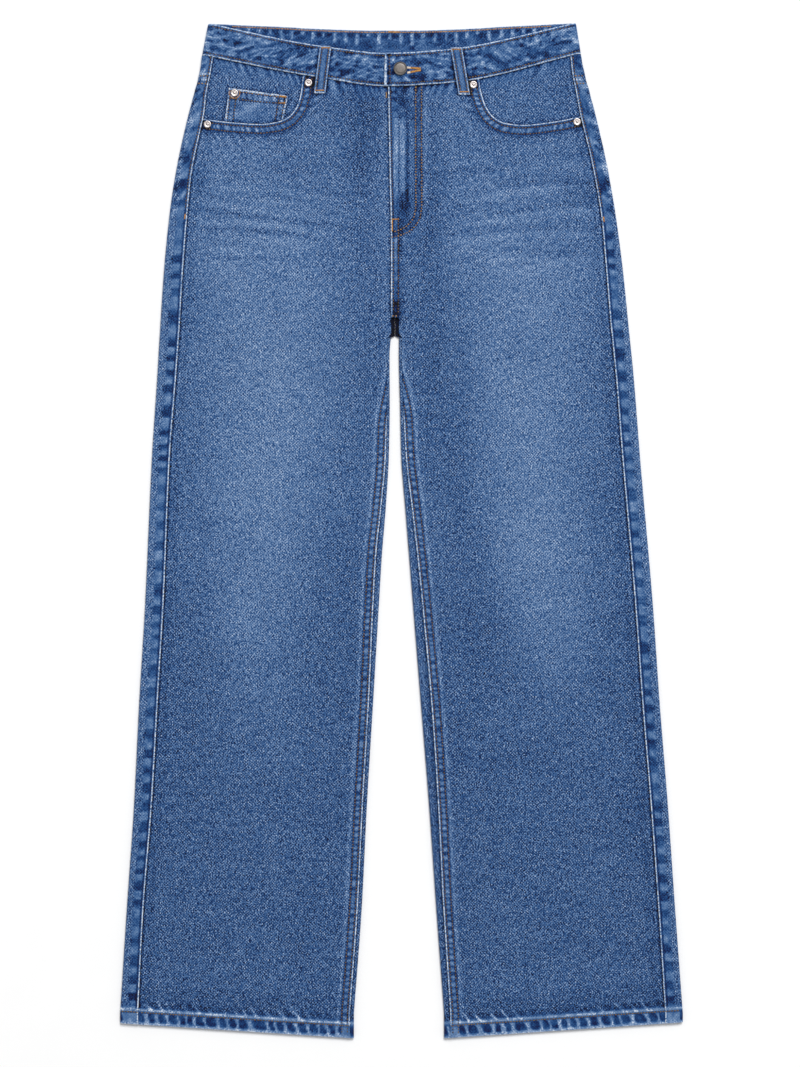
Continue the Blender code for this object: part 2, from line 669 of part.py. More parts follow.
# ---------------------------------------------------------------- patch pockets on the back
def make_back_pocket(side):
    """A plain pointed patch, flat on the table under the back panel."""
    spec = BACK_POCKET
    tilt = np.radians(spec["tilt"])
    half = spec["width"] / 2
    corners = ((-half, 0.0), (half, 0.0), (half - spec["taper"], spec["side"]), (0.0, spec["point"]),
               (-half + spec["taper"], spec["side"]))
    outline = bpy.data.curves.new("back_pocket_" + side.name, "CURVE")
    outline.dimensions = "2D"
    outline.fill_mode = "BOTH"
    outline.extrude = PATCH_CLOTH / 2 * MM
    spline = outline.splines.new("POLY")
    spline.points.add(len(corners) - 1)
    spline.use_cyclic_u = True
    for point, (along, below) in zip(spline.points, corners):
        x = along * np.cos(tilt) - below * np.sin(tilt)
        y = -along * np.sin(tilt) - below * np.cos(tilt)
        point.co = (-side.out * x * MM, y * MM, 0.0, 1.0)
    guide = bpy.data.objects.new("outline_" + side.name, outline)
    bpy.context.scene.collection.objects.link(guide)
    solid = bpy.data.meshes.new_from_object(guide.evaluated_get(bpy.context.evaluated_depsgraph_get()))
    bpy.data.objects.remove(guide)
    bm = bmesh.new()
    bm.from_mesh(solid)
    bmesh.ops.remove_doubles(bm, verts=bm.verts, dist=0.00001)
    bmesh.ops.recalc_face_normals(bm, faces=bm.faces)
    bm.to_mesh(solid)
    bm.free()
    piece = add_object("back_pocket_" + side.name, solid, DENIM_LOOK)
    middle = CENTRE + side.out * (spec["inner"] + half)
    piece.location = to_world(middle, spec["top"], PATCH_CLOTH / 2)
    return piece


# ---------------------------------------------------------------- hardware
def turned(name, profile, at, look, steps=24):
    """A solid of revolution about z from (radius, height) pairs, listed from the top down its outer side."""
    mesh = bpy.data.meshes.new(name)
    points = [(radius * MM, 0.0, height * MM) for radius, height in profile]
    mesh.from_pydata(points, [(i, i + 1) for i in range(len(points) - 1)], [])
    piece = add_object(name, mesh, look)
    screw = piece.modifiers.new("turn", "SCREW")
    screw.steps = steps
    screw.render_steps = steps
    screw.use_merge_vertices = True
    screw.merge_threshold = 0.00001
    piece.location = at
    return piece


def make_button():
    """A shank button: a rolled rim, a shallow groove and a low dome."""
    radius, height = BUTTON["radius"], BUTTON["height"]
    z = BAND_HEIGHT + LAP_LIFT + SEAM_GAP
    profile = ((0.0, height * 0.86), (radius * 0.45, height * 0.80), (radius * 0.68, height * 0.66),
               (radius * 0.76, height * 0.84), (radius * 0.86, height), (radius * 0.96, height * 0.84),
               (radius, height * 0.5), (radius * 0.93, height * 0.12), (radius * 0.8, 0.0), (0.0, 0.0))
    return turned("button", profile, to_world(BUTTON["x"], BUTTON["down"], z),
                  ("button_metal", METAL_GREY, 0.38, 1.0), steps=32)


def make_rivets():
    radius, height = RIVET["radius"], RIVET["height"]
    profile = ((0.0, height), (radius * 0.28, height * 0.92), (radius * 0.4, height * 0.55),
               (radius * 0.62, height * 0.6), (radius * 0.85, height * 0.62), (radius, height * 0.3),
               (radius * 0.95, 0.0), (0.0, 0.0))
    places = (
        ("rivet_right_inner", RIGHT, -98.6, 63.6, 0.0),
        ("rivet_right_outer", RIGHT, -205.6, 107.6, 0.0),
        ("rivet_left_inner", LEFT, 76.2, 65.6, 0.0),
        ("rivet_left_outer", LEFT, 186.0, 105.0, 0.0),
        ("rivet_coin", RIGHT, -177.0, 74.4, PATCH_CLOTH - CLOTH),
    )
    for name, side, x, down, raise_by in places:
        z = upper_face(side, x, down) + raise_by + SEAM_GAP
        turned(name, profile, to_world(x, down, z), ("rivet_metal", METAL_COPPER, 0.35, 1.0), steps=16)


# ---------------------------------------------------------------- the garment
def clear_scene():
    for piece in list(bpy.data.objects):
        bpy.data.objects.remove(piece, do_unlink=True)
    jeans = bpy.data.collections.new("wide_leg_jeans")
    bpy.context.scene.collection.children.link(jeans)


def main():
    clear_scene()
    for side in SIDES:
        make_back(side)
        make_yoke(side)
        make_facing(side)
        make_front(side)
        make_back_pocket(side)
        make_front_loop(side)
    make_coin_pocket()
    make_waistband()
    for name, x in BACK_LOOPS.items():
        make_back_loop(name, x)
    make_button()
    make_rivets()


main()
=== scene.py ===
"""Looks of the wide-leg jeans: fine cloth shells on the solids' own forms, sewing, metal, light and camera.

Sizes are in millimetres until a mesh is made. `down` is the distance below the highest point of the waist.
`tone` is how far the indigo has worn, with painted shade and shadow added beside raised parts and in the pit
between
the legs: about 0.2 in the darkest creases, 0.36 on the shins, 0.48 on the thighs and above 0.7 on abraded
edges.
Each cloth point carries its tone, and the denim material adds the weave, the flecks and the colour.
"""

from collections import namedtuple

import bmesh
import bpy
import numpy as np
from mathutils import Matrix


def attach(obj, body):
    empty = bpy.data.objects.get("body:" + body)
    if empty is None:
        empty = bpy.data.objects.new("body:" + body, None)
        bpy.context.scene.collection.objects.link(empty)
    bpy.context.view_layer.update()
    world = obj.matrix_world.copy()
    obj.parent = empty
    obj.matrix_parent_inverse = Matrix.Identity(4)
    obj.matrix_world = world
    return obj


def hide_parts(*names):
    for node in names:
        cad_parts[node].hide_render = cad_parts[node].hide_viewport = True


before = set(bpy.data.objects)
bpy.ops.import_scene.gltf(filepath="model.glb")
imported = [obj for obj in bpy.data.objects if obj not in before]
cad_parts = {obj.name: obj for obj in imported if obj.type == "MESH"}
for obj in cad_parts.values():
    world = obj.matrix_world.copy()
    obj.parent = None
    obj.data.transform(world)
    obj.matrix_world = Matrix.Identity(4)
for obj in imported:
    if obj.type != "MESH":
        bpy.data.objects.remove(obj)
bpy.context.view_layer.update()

MM = 0.001

# ---------------------------------------------------------------- the solids' own sizes, repeated
LENGTH = 1076.0
CENTRE = -6.9
CLOTH = 1.2
HEM_CLOTH = 2.2
HEM_HEIGHT = 15.0
BAND_CLOTH = 2.4
PATCH_CLOTH = 1.0
SEAM_GAP = 0.3
CROTCH = 333.0
FRONT_POINT = 312.0
FORK_REACH = 3.0
FORK_EASE = 20.0
FORK_LENGTH = 11.0
CROTCH_STRIP = 8.4
CROWN = 55.0
INNER_CROWN = 42.0
INNER_HEIGHT = 4.8
BAND_HEIGHT = 6.6
LAP_END = -17.5
UNDERLAP_END = 20.7
LAP_LIFT = BAND_CLOTH + SEAM_GAP
LAP_RAMP = (24.0, 50.0)
FLY_LIFT = CLOTH + SEAM_GAP
FLY_RAMP = 6.0
FLY_FADE = 8.0
SEAM_TUCK = 8.0
LOOP_SIZE = (12.2, 50.0, 1.2)
LOOP_ARCH = 1.2
LOOP_CLEAR = 1.5
LOOP_STEP = 6.0
LOOP_LIFT = 1.5
LOOP_WINDOW = (8.0, 28.0)
LOOP_LIFT_END = (62.0, 80.0)
BACK_LOOP_STEP = 120.0
POCKET_LIFT = 1.5
POCKET_ZONE = (126.0, 138.0, 304.0, 320.0)
POCKET_INSET = (0.83, 0.95)
BACK_POCKET = dict(inner=38.0, width=145.0, top=150.0, side=138.0, point=155.0, taper=8.0, tilt=5.0)
YOKE_SIDE = 62.0
YOKE_CENTRE = 111.0
FACING_REACH = 10.0
FACING_END = 121.0
BUTTON = dict(x=-1.3, down=49.3, radius=7.25, height=2.8)
RIVET = dict(radius=4.1, height=1.3)

Outline = namedtuple("Outline", "down fold_right fold_left strip_right strip_left")
OUTLINE = (
    Outline(0, -205.0, 185.0, 12.5, 11.5),
    Outline(34, -211.5, 190.3, 12.5, 11.7),
    Outline(55, -214.7, 194.5, 12.2, 13.5),
    Outline(71, -218.9, 198.8, 13.0, 14.5),
    Outline(103, -227.4, 207.2, 17.0, 16.5),
    Outline(151, -238.0, 218.0, 17.0, 15.7),
    Outline(198, -245.4, 226.3, 18.9, 15.6),
    Outline(262, -251.8, 234.8, 20.3, 18.0),
    Outline(325, -256.0, 241.2, 20.7, 19.1),
    Outline(378, -259.2, 246.5, 20.1, 19.1),
    Outline(458, -264.5, 252.8, 19.1, 19.1),
    Outline(617, -271.9, 266.6, 19.7, 19.0),
    Outline(723, -278.3, 274.0, 19.8, 18.7),
    Outline(829, -283.6, 282.5, 19.0, 18.4),
    Outline(935, -291.0, 289.9, 17.8, 18.0),
    Outline(1050, -298.4, 298.4, 19.3, 19.0),
)
Fork = namedtuple("Fork", "down inner_right inner_left inseam_right inseam_left")
FORK = (
    Fork(333, -11.2, -2.6, 3.0, 3.0),
    Fork(352, -12.6, -2.8, 3.0, 3.0),
    Fork(405, -12.4, -1.6, 3.0, 3.4),
    Fork(458, -13.3, -0.4, 3.2, 4.8),
    Fork(511, -16.4, 3.7, 4.6, 6.8),
    Fork(564, -20.7, 8.0, 6.0, 8.6),
    Fork(617, -23.9, 12.2, 5.8, 9.8),
    Fork(723, -30.2, 20.7, 4.4, 11.0),
    Fork(829, -36.6, 29.2, 4.2, 9.5),
    Fork(935, -41.9, 36.6, 4.2, 7.5),
    Fork(1050, -50.4, 45.1, 4.2, 6.5),
)
Level = namedtuple("Level", "down middle fold")
LEVELS = (
    Level(0, 5.8, 6.6),
    Level(75, 5.8, 6.4),
    Level(140, 4.3, 5.2),
    Level(325, 4.3, 5.2),
    Level(400, 2.8, 5.2),
    Level(985, 2.8, 5.2),
    Level(1044, 4.8, 5.2),
    Level(1076, 4.8, 5.2),
)
At = namedtuple("At", "x down")
FRONT_TOP = (At(-205.0, 0.5), At(-86.4, 24.4), At(-10.0, 32.3), At(53.5, 27.6), At(185.0, 0.0))
FRONT_BOTTOM = (At(-211.5, 34.0), At(-91.7, 57.2), At(-12.0, 67.4), At(57.8, 62.9), At(190.3, 32.3))
BACK_TOP = (At(-205.0, 0.5), At(CENTRE, 8.0), At(185.0, 0.0))
BACK_BOTTOM = (At(-211.5, 34.0), At(CENTRE, 43.5), At(190.3, 32.3))
MOUTH_RIGHT = (At(-104.4, 55.4), At(-107.0, 76.0), At(-111.5, 89.5), At(-120.3, 99.8), At(-133.0, 105.0),
               At(-150.0, 107.0), At(-178.0, 105.4), At(-212.0, 101.6))
MOUTH_LEFT = (At(81.6, 58.4), At(84.6, 74.0), At(89.6, 88.5), At(98.0, 99.8), At(110.0, 106.0),
              At(128.0, 108.0), At(160.0, 104.8), At(196.0, 97.8))
Fly = namedtuple("Fly", "down edge doubled")
FLY = (Fly(60, -14.3, 24.0), Fly(182, -12.0, 24.0), Fly(205, -11.4, 17.0), Fly(222, -11.2, 6.0),
       Fly(232, -11.1, 0.5), Fly(320, -11.1, 0.5))
HEM_RIGHT = ((-298.4, 1060.0), (-51.4, 1076.0))
HEM_LEFT = ((45.5, 1076.0), (298.4, 1059.0))
COIN_POCKET = dict(top_outer=(-182.9, 68.9), top_inner=(-120.3, 77.4), foot_outer=-187.1, foot_inner=-125.6)
FRONT_LOOPS = {"right": ((-80.3, 24.9), (-86.7, 74.8)), "left": ((58.0, 26.5), (66.5, 76.3))}
# How far the rows of stitches lie from the edge or the point that they follow.
HEM_ROW = 12.8
MOUTH_ROWS = (3.3, 9.8)
INSEAM_ROWS = (8.5, 2.6)
SIDE_ROW = 2.6
YOKE_ROWS = (56.4, 64.4)
FELLED_ROWS = (2.4, 8.6)
SEAT_ROW = 2.6
BAND_ROWS = dict(top=2.7, bottom=3.0)
COIN_SIZE = (62.0, 31.0)
COIN_ROWS = dict(top=2.4, lower=9.4, sides=(2.2, 8.6))
POCKET_ROWS = (2.2, 8.6)
POCKET_HEM_ROWS = (2.6, 17.0)
LOOP_ROW = 3.6
FLY_ROWS = (2.4, 7.8)
FLY_FOOT = 229.0
# How far the inseam turns under the fold at the crotch, and how long the step at the fly's foot is.
INSEAM_TURN = 13.0
FORK_STEP = 4.0
# The waistband's outer edges round off by this much.
EDGE_ROLL = 0.45
# The threads under the garment are pressed this far into the cloth.
UNDER_SINK = 0.50
# Tones of the cloth's inner side, and of the shaded pit between the legs.
INSIDE_TONE = 0.47
PIT_TONE = 0.07


# ---------------------------------------------------------------- curves, blends and unevenness
def curve(stations, values):
    """A smooth curve through the stations that never overshoots between two of them."""
    stations = np.asarray(stations, dtype=float)
    values = np.asarray(values, dtype=float)
    step = np.diff(stations)
    slope = np.diff(values) / step
    tangent = np.concatenate(([slope[0]], np.zeros(len(slope) - 1), [slope[-1]]))
    for i in range(1, len(slope)):
        if slope[i - 1] * slope[i] > 0:
            tangent[i] = 2 * slope[i - 1] * slope[i] / (slope[i - 1] + slope[i])

    def at(position):
        position = np.clip(position, stations[0], stations[-1])
        i = np.clip(np.searchsorted(stations, position, side="right") - 1, 0, len(step) - 1)
        u = (position - stations[i]) / step[i]
        rise = u * u * (3 - 2 * u)
        leave = u * (1 - u) ** 2 * step[i] * tangent[i]
        arrive = u * u * (u - 1) * step[i] * tangent[i + 1]
        return (1 - rise) * values[i] + rise * values[i + 1] + leave + arrive
    return at


def read(table, key, name):
    """One column of a table as a smooth curve over another."""
    rows = sorted(table, key=lambda row: getattr(row, key))
    return curve([getattr(row, key) for row in rows], [getattr(row, name) for row in rows])


def ease(share):
    """0 below 0, 1 above 1, and a smooth rise between."""
    share = np.clip(share, 0.0, 1.0)
    return share * share * (3 - 2 * share)


def mix(a, b, share):
    return a + (b - a) * share


def bell(distance, middle, width):
    """1 at the middle, fading to nothing over about twice the width."""
    return np.exp(-(((distance - middle) / width) ** 2))


def span(value, low, high, soft):
    """1 between low and high, fading to 0 over `soft` on each side."""
    return ease((value - low) / soft + 0.5) * ease((high - value) / soft + 0.5)


# A narrow mark along an edge: how far from it, how wide, and what it adds to the tone and the height.
Mark = namedtuple("Mark", "at width tone height", defaults=(0.0,))


def marks(distance, rows):
    """What narrow marks add to the tone and to the height at this distance from their edge."""
    shapes = [bell(distance, row.at, row.width) for row in rows]
    tone = sum(row.tone * shape for row, shape in zip(rows, shapes))
    return tone, sum(row.height * shape for row, shape in zip(rows, shapes))


def worn_edge(tone, distance, worn, width=1.2, share=1.0, soft=0.7):
    """The tone, with a bright abraded line over the first `width` from an edge."""
    return mix(tone, worn, span(distance, -1.0, width, soft) * share)


def rough(x, y, size, seed):
    """Smooth unevenness between -1 and 1, in lumps of about `size`."""
    u, v = np.asarray(x, float) / size, np.asarray(y, float) / size
    i, j = np.floor(u).astype(np.int64), np.floor(v).astype(np.int64)
    across, along = ease(u - i), ease(v - j)

    def corner(a, b):
        n = (a * 73856093) ^ (b * 19349663) ^ (seed * 83492791)
        n = ((n ^ (n >> 13)) * 1274126177) & 0x7FFFFFFF
        n = ((n ^ (n >> 15)) * 668265263) & 0x7FFFFFFF
        return (n >> 8) % 4096 / 2047.5 - 1
    return mix(mix(corner(i, j), corner(i + 1, j), across),
               mix(corner(i, j + 1), corner(i + 1, j + 1), across), along)


def ripple(along, pitch, seed, uneven=0.35):
    """An uneven wave between -1 and 1, as puckers along a seam are."""
    phase = along / pitch + uneven * rough(along, 0.0, 2.5 * pitch, seed)
    size = 0.8 + 0.45 * rough(along, 40.0, 1.7 * pitch, seed + 1)
    return np.clip(1.9 * np.cos(2 * np.pi * phase), -1, 1) * size


def streaks(x, down, length, width, slant, seed):
    """Smooth unevenness drawn out along a slanting direction."""
    return rough(x * width / length, down - slant * x, width, seed)


def vein(x, y, size, seed):
    """Thin winding lines, 1 on a line and 0 away from it."""
    return (1 - abs(rough(x, y, size, seed))) ** 5


# ---------------------------------------------------------------- lines on the garment
def resample(points, step=2.0, smooth=True):
    """Points every `step` along the line through (x, down) points."""
    points = np.asarray(points, dtype=float)
    chord = np.concatenate(([0.0], np.cumsum(np.hypot(*np.diff(points, axis=0).T))))
    at = np.linspace(0.0, chord[-1], max(2, int(chord[-1] / step) + 1))
    if smooth and len(points) > 2:
        return np.stack([curve(chord, points[:, k])(at) for k in (0, 1)], axis=1)
    return np.stack([np.interp(at, chord, points[:, k]) for k in (0, 1)], axis=1)


def near(path, x, down, reach=24.0):
    """Distance from a path, positive on its right-hand side as laid, and how far along it."""
    x, down = np.broadcast_arrays(np.asarray(x, float), np.asarray(down, float))
    best = np.full(x.shape, 99.0)
    along = np.zeros(x.shape)
    low, high = path.min(axis=0) - reach, path.max(axis=0) + reach
    inside = (x > low[0]) & (x < high[0]) & (down > low[1]) & (down < high[1])
    px, pd = x[inside], down[inside]
    near_one, far_one = np.full(px.shape, 99.0), np.zeros(px.shape)
    travelled = 0.0
    for (ax, ad), (bx, bd) in zip(path[:-1], path[1:]):
        dx, dd = bx - ax, bd - ad
        length = np.hypot(dx, dd)
        t = np.clip(((px - ax) * dx + (pd - ad) * dd) / length**2, 0, 1)
        distance = np.hypot(px - ax - t * dx, pd - ad - t * dd)
        closer = distance < abs(near_one)
        sign = np.where(dx * (pd - ad) - dd * (px - ax) >= 0, 1.0, -1.0)
        near_one = np.where(closer, sign * distance, near_one)
        far_one = np.where(closer, travelled + t * length, far_one)
        travelled += length
    best[inside] = near_one
    along[inside] = far_one
    return best, along


def shifted(path, offset):
    """The path moved to its right-hand side by `offset`."""
    direction = np.gradient(path, axis=0)
    direction /= np.hypot(*direction.T)[:, None]
    return path + offset * np.stack([-direction[:, 1], direction[:, 0]], axis=1)


# ---------------------------------------------------------------- the two halves of the garment
Side = namedtuple("Side", "name out fold strip inner inseam hem mouth mouth_end mouth_path seed")


def make_side(name, out, hem, mouth, seed):
    drop = read(mouth, "x", "down")
    return Side(
        name=name,
        out=out,
        fold=read(OUTLINE, "down", "fold_" + name),
        strip=read(OUTLINE, "down", "strip_" + name),
        inner=read(FORK, "down", "inner_" + name),
        inseam=read(FORK, "down", "inseam_" + name),
        hem=lambda x: np.interp(x, [point[0] for point in hem], [point[1] for point in hem]),
        mouth=drop,
        mouth_end=mouth[0].x,
        mouth_path=resample([(x, drop(x)) for x in np.linspace(mouth[0].x, mouth[-1].x, 400)], 2.0, False),
        seed=seed,
    )


RIGHT = make_side("right", -1, HEM_RIGHT, MOUTH_RIGHT, 11)
LEFT = make_side("left", 1, HEM_LEFT, MOUTH_LEFT, 47)
SIDES = (RIGHT, LEFT)

middle_level = read(LEVELS, "down", "middle")
fold_height = read(LEVELS, "down", "fold")
front_top = read(FRONT_TOP, "x", "down")
front_bottom = read(FRONT_BOTTOM, "x", "down")
back_top = read(BACK_TOP, "x", "down")
fly_edge = read(FLY, "down", "edge")
fly_doubled = read(FLY, "down", "doubled")
BACK_LOOPS = {"right": CENTRE - BACK_LOOP_STEP, "center": CENTRE, "left": CENTRE + BACK_LOOP_STEP}


def back_bottom(x):
    return np.interp(x, [point.x for point in BACK_BOTTOM], [point.down for point in BACK_BOTTOM])


def upper_face(side, x, down):
    """Height of the upper layer's outer face: low in the middle, lifted by the folds on each side."""
    level = middle_level(down)
    height = fold_height(down)
    from_fold = side.out * (side.fold(down) - x) - height / 2
    outer = (height - level) * ease(1 - from_fold / CROWN)
    from_inner = side.out * (x - side.inner(down)) - INNER_HEIGHT / 2
    below_fork = ease((down - CROTCH + FORK_EASE) / FORK_EASE)
    inner = (INNER_HEIGHT - level) * ease(1 - from_inner / INNER_CROWN) * below_fork
    return level + outer + inner


def table_lift(side, x, down):
    """How far the lower layer rides up over the patch pockets and the back belt loops."""
    half = side.out * (side.fold(down) - CENTRE)
    share = side.out * (x - CENTRE) / half
    across = ease((POCKET_INSET[1] - share) / (POCKET_INSET[1] - POCKET_INSET[0]))
    starts, full, leaves, ends = POCKET_ZONE
    along = ease((down - starts) / (full - starts)) * ease((ends - down) / (ends - leaves))
    lift = POCKET_LIFT * across * along
    for loop_x in BACK_LOOPS.values():
        close = ease((LOOP_WINDOW[1] - abs(x - loop_x)) / (LOOP_WINDOW[1] - LOOP_WINDOW[0]))
        ending = ease((LOOP_LIFT_END[1] - down) / (LOOP_LIFT_END[1] - LOOP_LIFT_END[0]))
        lift = np.maximum(lift, LOOP_LIFT * close * ending)
    return lift


def cloth_at(side, x, down):
    """Thickness of a leg's cloth, which is doubled at its turned hem."""
    into_hem = HEM_HEIGHT + 1.0 - (side.hem(x) - down)
    return mix(CLOTH, HEM_CLOTH, np.clip(into_hem, 0.0, 1.0))


def fly_lift(x, down):
    """How far the doubled cloth raises the left front over the fly."""
    across = ease(1 - (x - fly_doubled(down)) / FLY_RAMP)
    return FLY_LIFT * across * ease((FRONT_POINT + FLY_FADE - down) / FLY_FADE)


# ---------------------------------------------------------------- wear: where the indigo has gone
# The thigh and knee fades: their middle, half width and tone down each leg, and the tone around them.
Wear = namedtuple("Wear", "down middle reach tone around")
WEAR = {
    "right": (
        Wear(60, -140, 80, 0.430, 0.415),
        Wear(150, -148, 85, 0.438, 0.405),
        Wear(230, -142, 88, 0.470, 0.402),
        Wear(330, -138, 74, 0.482, 0.398),
        Wear(430, -139, 68, 0.494, 0.394),
        Wear(500, -142, 66, 0.486, 0.390),
        Wear(560, -150, 60, 0.468, 0.382),
        Wear(620, -156, 52, 0.452, 0.372),
        Wear(690, -150, 46, 0.420, 0.364),
        Wear(760, -150, 60, 0.378, 0.360),
        Wear(900, -170, 80, 0.366, 0.356),
        Wear(1076, -180, 80, 0.364, 0.358),
    ),
    "left": (
        Wear(60, 125, 80, 0.428, 0.410),
        Wear(150, 125, 78, 0.434, 0.402),
        Wear(230, 130, 76, 0.472, 0.398),
        Wear(262, 132, 74, 0.486, 0.394),
        Wear(330, 131, 64, 0.476, 0.388),
        Wear(430, 133, 62, 0.482, 0.384),
        Wear(520, 142, 58, 0.486, 0.380),
        Wear(600, 152, 52, 0.470, 0.374),
        Wear(660, 160, 46, 0.436, 0.364),
        Wear(730, 152, 60, 0.386, 0.358),
        Wear(800, 160, 80, 0.366, 0.354),
        Wear(1076, 170, 80, 0.362, 0.356),
    ),
}
# Faint creases across the hips, from the side seam in: light where raised, dark beside.
Whisker = namedtuple("Whisker", "side x_from down_from x_to down_to width strength")
WHISKERS = (
    Whisker("right", -222, 168, -60, 192, 3.6, 0.042),
    Whisker("right", -226, 190, -45, 210, 3.4, 0.048),
    Whisker("right", -228, 206, -40, 230, 4.0, 0.054),
    Whisker("right", -214, 236, -60, 246, 4.4, 0.036),
    Whisker("left", 208, 172, 60, 188, 3.6, 0.042),
    Whisker("left", 214, 198, 44, 214, 3.6, 0.051),
    Whisker("left", 216, 222, 40, 233, 4.0, 0.048),
    Whisker("left", 212, 246, 60, 256, 4.6, 0.036),
)
# Single darker or lighter places of the fronts.
Patch = namedtuple("Patch", "side x down reach_x reach_down change")
PATCHES = (
    Patch("right", -42, 130, 14, 85, -0.070),
    Patch("right", -26, 90, 13, 26, -0.055),
    Patch("right", -36, 320, 20, 90, -0.030),
    Patch("right", -125, 122, 18, 12, -0.035),
    Patch("left", 32, 180, 14, 90, -0.045),
    Patch("left", 34, 330, 15, 110, -0.035),
    Patch("left", 62, 480, 13, 120, -0.028),
    Patch("left", 86, 600, 14, 90, -0.020),
    Patch("left", 102, 121, 18, 12, -0.030),
    Patch("left", 190, 175, 12, 14, -0.045),
    Patch("right", -212, 175, 10, 14, -0.040),
    Patch("left", 250, 860, 30, 60, -0.012),
    Patch("left", 104, 156, 30, 16, -0.018),
    Patch("right", -65, 92, 26, 22, -0.045),
    Patch("right", -58, 576, 14, 70, -0.018),
    Patch("right", -76, 251, 22, 24, -0.032),
    Patch("right", -171, 633, 26, 40, 0.028),
    Patch("right", -120, 860, 50, 40, 0.008),
)

wear_at = {side: {name: read(rows, "down", name) for name in ("middle", "reach", "tone", "around")}
           for side, rows in WEAR.items()}


def whisker_tone(row, x, down):
    """One crease: a light line with a darker one beside it, fading towards both ends."""
    path = np.array([(row.x_from, row.down_from), (row.x_to, row.down_to)], float)
    offset, along = near(path, x, down, 30.0)
    total = np.hypot(*(path[1] - path[0]))
    shows = ease(along / 30) * ease((total - along) / 60)
    bent = offset + 3.0 * np.sin(along / 34.0 + row.down_from)
    return row.strength * shows * (bell(bent, 0, row.width) - 0.9 * bell(bent, 1.7 * row.width, row.width))


def leg_tone(side, x, down):
    """The slow changes of tone over a front panel."""
    at = wear_at[side.name]
    wander = 9.0 * rough(x, down, 85.0, side.seed) + 4.0 * rough(x, down, 32.0, side.seed + 1)
    distance = abs(x - at["middle"](down + wander)) / at["reach"](down)
    fade = np.exp(-(distance**2.6))
    tone = mix(at["around"](down), at["tone"](down + 1.6 * wander), fade)
    for row in WHISKERS:
        if row.side == side.name:
            tone += whisker_tone(row, x, down)
    for row in PATCHES:
        if row.side == side.name:
            tone += row.change * bell(x, row.x, row.reach_x) * bell(down, row.down, row.reach_down)
    hips = span(down, 128, 285, 50) * span(side.out * (x - CENTRE), 40, 205, 50)
    tone += 0.034 * hips * streaks(x, down, 70.0, 6.5, -0.10 * side.out, side.seed + 15)
    tone += 0.008 * span(down, 280, 980, 80) * streaks(x, down, 60.0, 9.0, 0.05 * side.out, side.seed + 16)
    tone += 0.010 * rough(x - 0.5 * down, down, 46.0, side.seed + 2)
    tone += 0.007 * rough(x + 0.8 * down, down * 0.6, 17.0, side.seed + 3)
    return tone


# Lines along a hem, by height: its worn lower edge, the groove of its stitch row, and the ridge over it.
# `uneven` is how much the tone changes along one, in lumps of `size`.
HemLine = namedtuple("HemLine", "at width tone uneven size strength step")
HEM_LINES = (
    HemLine(0.0, 2.2, 0.64, 0.08, 6.0, 1.0, 2),
    HemLine(HEM_ROW, 1.1, 0.20, 0.0, 6.0, 0.85, 2),
    HemLine(15.4, 1.7, 0.70, 0.12, 4.0, 1.0, 3),
)
# The dark ovals of a turned hem, and the light wisps above it.
HEM_OVAL = dict(pitch=11.6, half_width=0.385, middle=6.9, half_height=5.7, tone=0.225)
HEM_WISP = dict(pitch=12.2, low=16.0, high=23.0)


def hem_ovals(height, along, seed):
    """1 on the dark ovals between the hem's light folds."""
    phase = (along + 0.25 * height) / HEM_OVAL["pitch"] + 0.45 * rough(along, 0.0, 24.0, seed)
    phase = phase + 0.10 * rough(along, height, 7.0, seed + 8)
    swell = 1.0 + 0.14 * rough(along, 0.0, 13.0, seed + 5)
    across = (phase - np.round(phase)) / (HEM_OVAL["half_width"] * swell)
    oval = across**2 + ((height - HEM_OVAL["middle"]) / HEM_OVAL["half_height"]) ** 4
    return ease((1.15 - oval) / 0.55)


def hem_look(height, along, tone, seed, plain=0.0):
    """Relief, tone and calm of the turned hem: dark ovals between light folds, and light wisps above its row.

    `plain` is 1 where the strip beside a seam has none of them."""
    dark = hem_ovals(height, along, seed) * (1 - plain)
    band = span(height, 0.5, 12.6, 1.4)
    light = mix(0.605, 0.50, plain) + 0.09 * rough(along, height, 4.0, seed + 1)
    tone = mix(tone, light, band * 0.95)
    tone = mix(tone, HEM_OVAL["tone"] + 0.10 * rough(along, height, 4.0, seed + 7), dark * 0.96)
    for row in HEM_LINES:
        worn = row.tone + row.uneven * rough(along, 0.0, row.size, seed + row.step)
        tone = mix(tone, worn, bell(height, row.at, row.width) * row.strength)
    lean = (along + 0.8 * height) / HEM_WISP["pitch"] + 0.55 * rough(along, 0.0, 26.0, seed + 4)
    strength = 0.65 + 0.5 * rough(along, 0.0, 15.0, seed + 9)
    wisp = np.clip((np.cos(2 * np.pi * lean) - 0.66) / 0.28, 0, 1) * (1 - plain) * strength
    above = span(height, HEM_WISP["low"], HEM_WISP["high"] + 5.0 * rough(along, 0.0, 9.0, seed + 6), 5.0)
    under_wisps = span(height, 16.5, 24.0, 4.0) * (1 - plain)
    tone = tone + 0.30 * above * wisp - 0.09 * under_wisps * (1 - wisp)
    tone = tone - 0.03 * span(height, 16.5, 40.0, 14.0)
    relief = 0.5 * band * (0.35 - dark) + 0.35 * bell(height, 15.4, 1.6) - 0.3 * bell(height, HEM_ROW, 1.0)
    return relief + 0.22 * above * wisp, tone, span(height, -9, 19.0, 6.0)


J_OUTER = resample([(21.2, 64.0), (21.2, 134.6), (21.5, 168.0), (21.5, 190.0), (20.0, 204.3), (16.9, 211.9),
                    (10.5, 219.4), (-2.3, 225.5), (-11.1, 227.4)])
J_INNER = resample([(14.9, 64.0), (14.9, 134.6), (15.2, 172.0), (15.2, 190.0), (13.7, 204.3), (8.9, 211.9),
                    (1.5, 217.9), (-10.0, 222.2)])
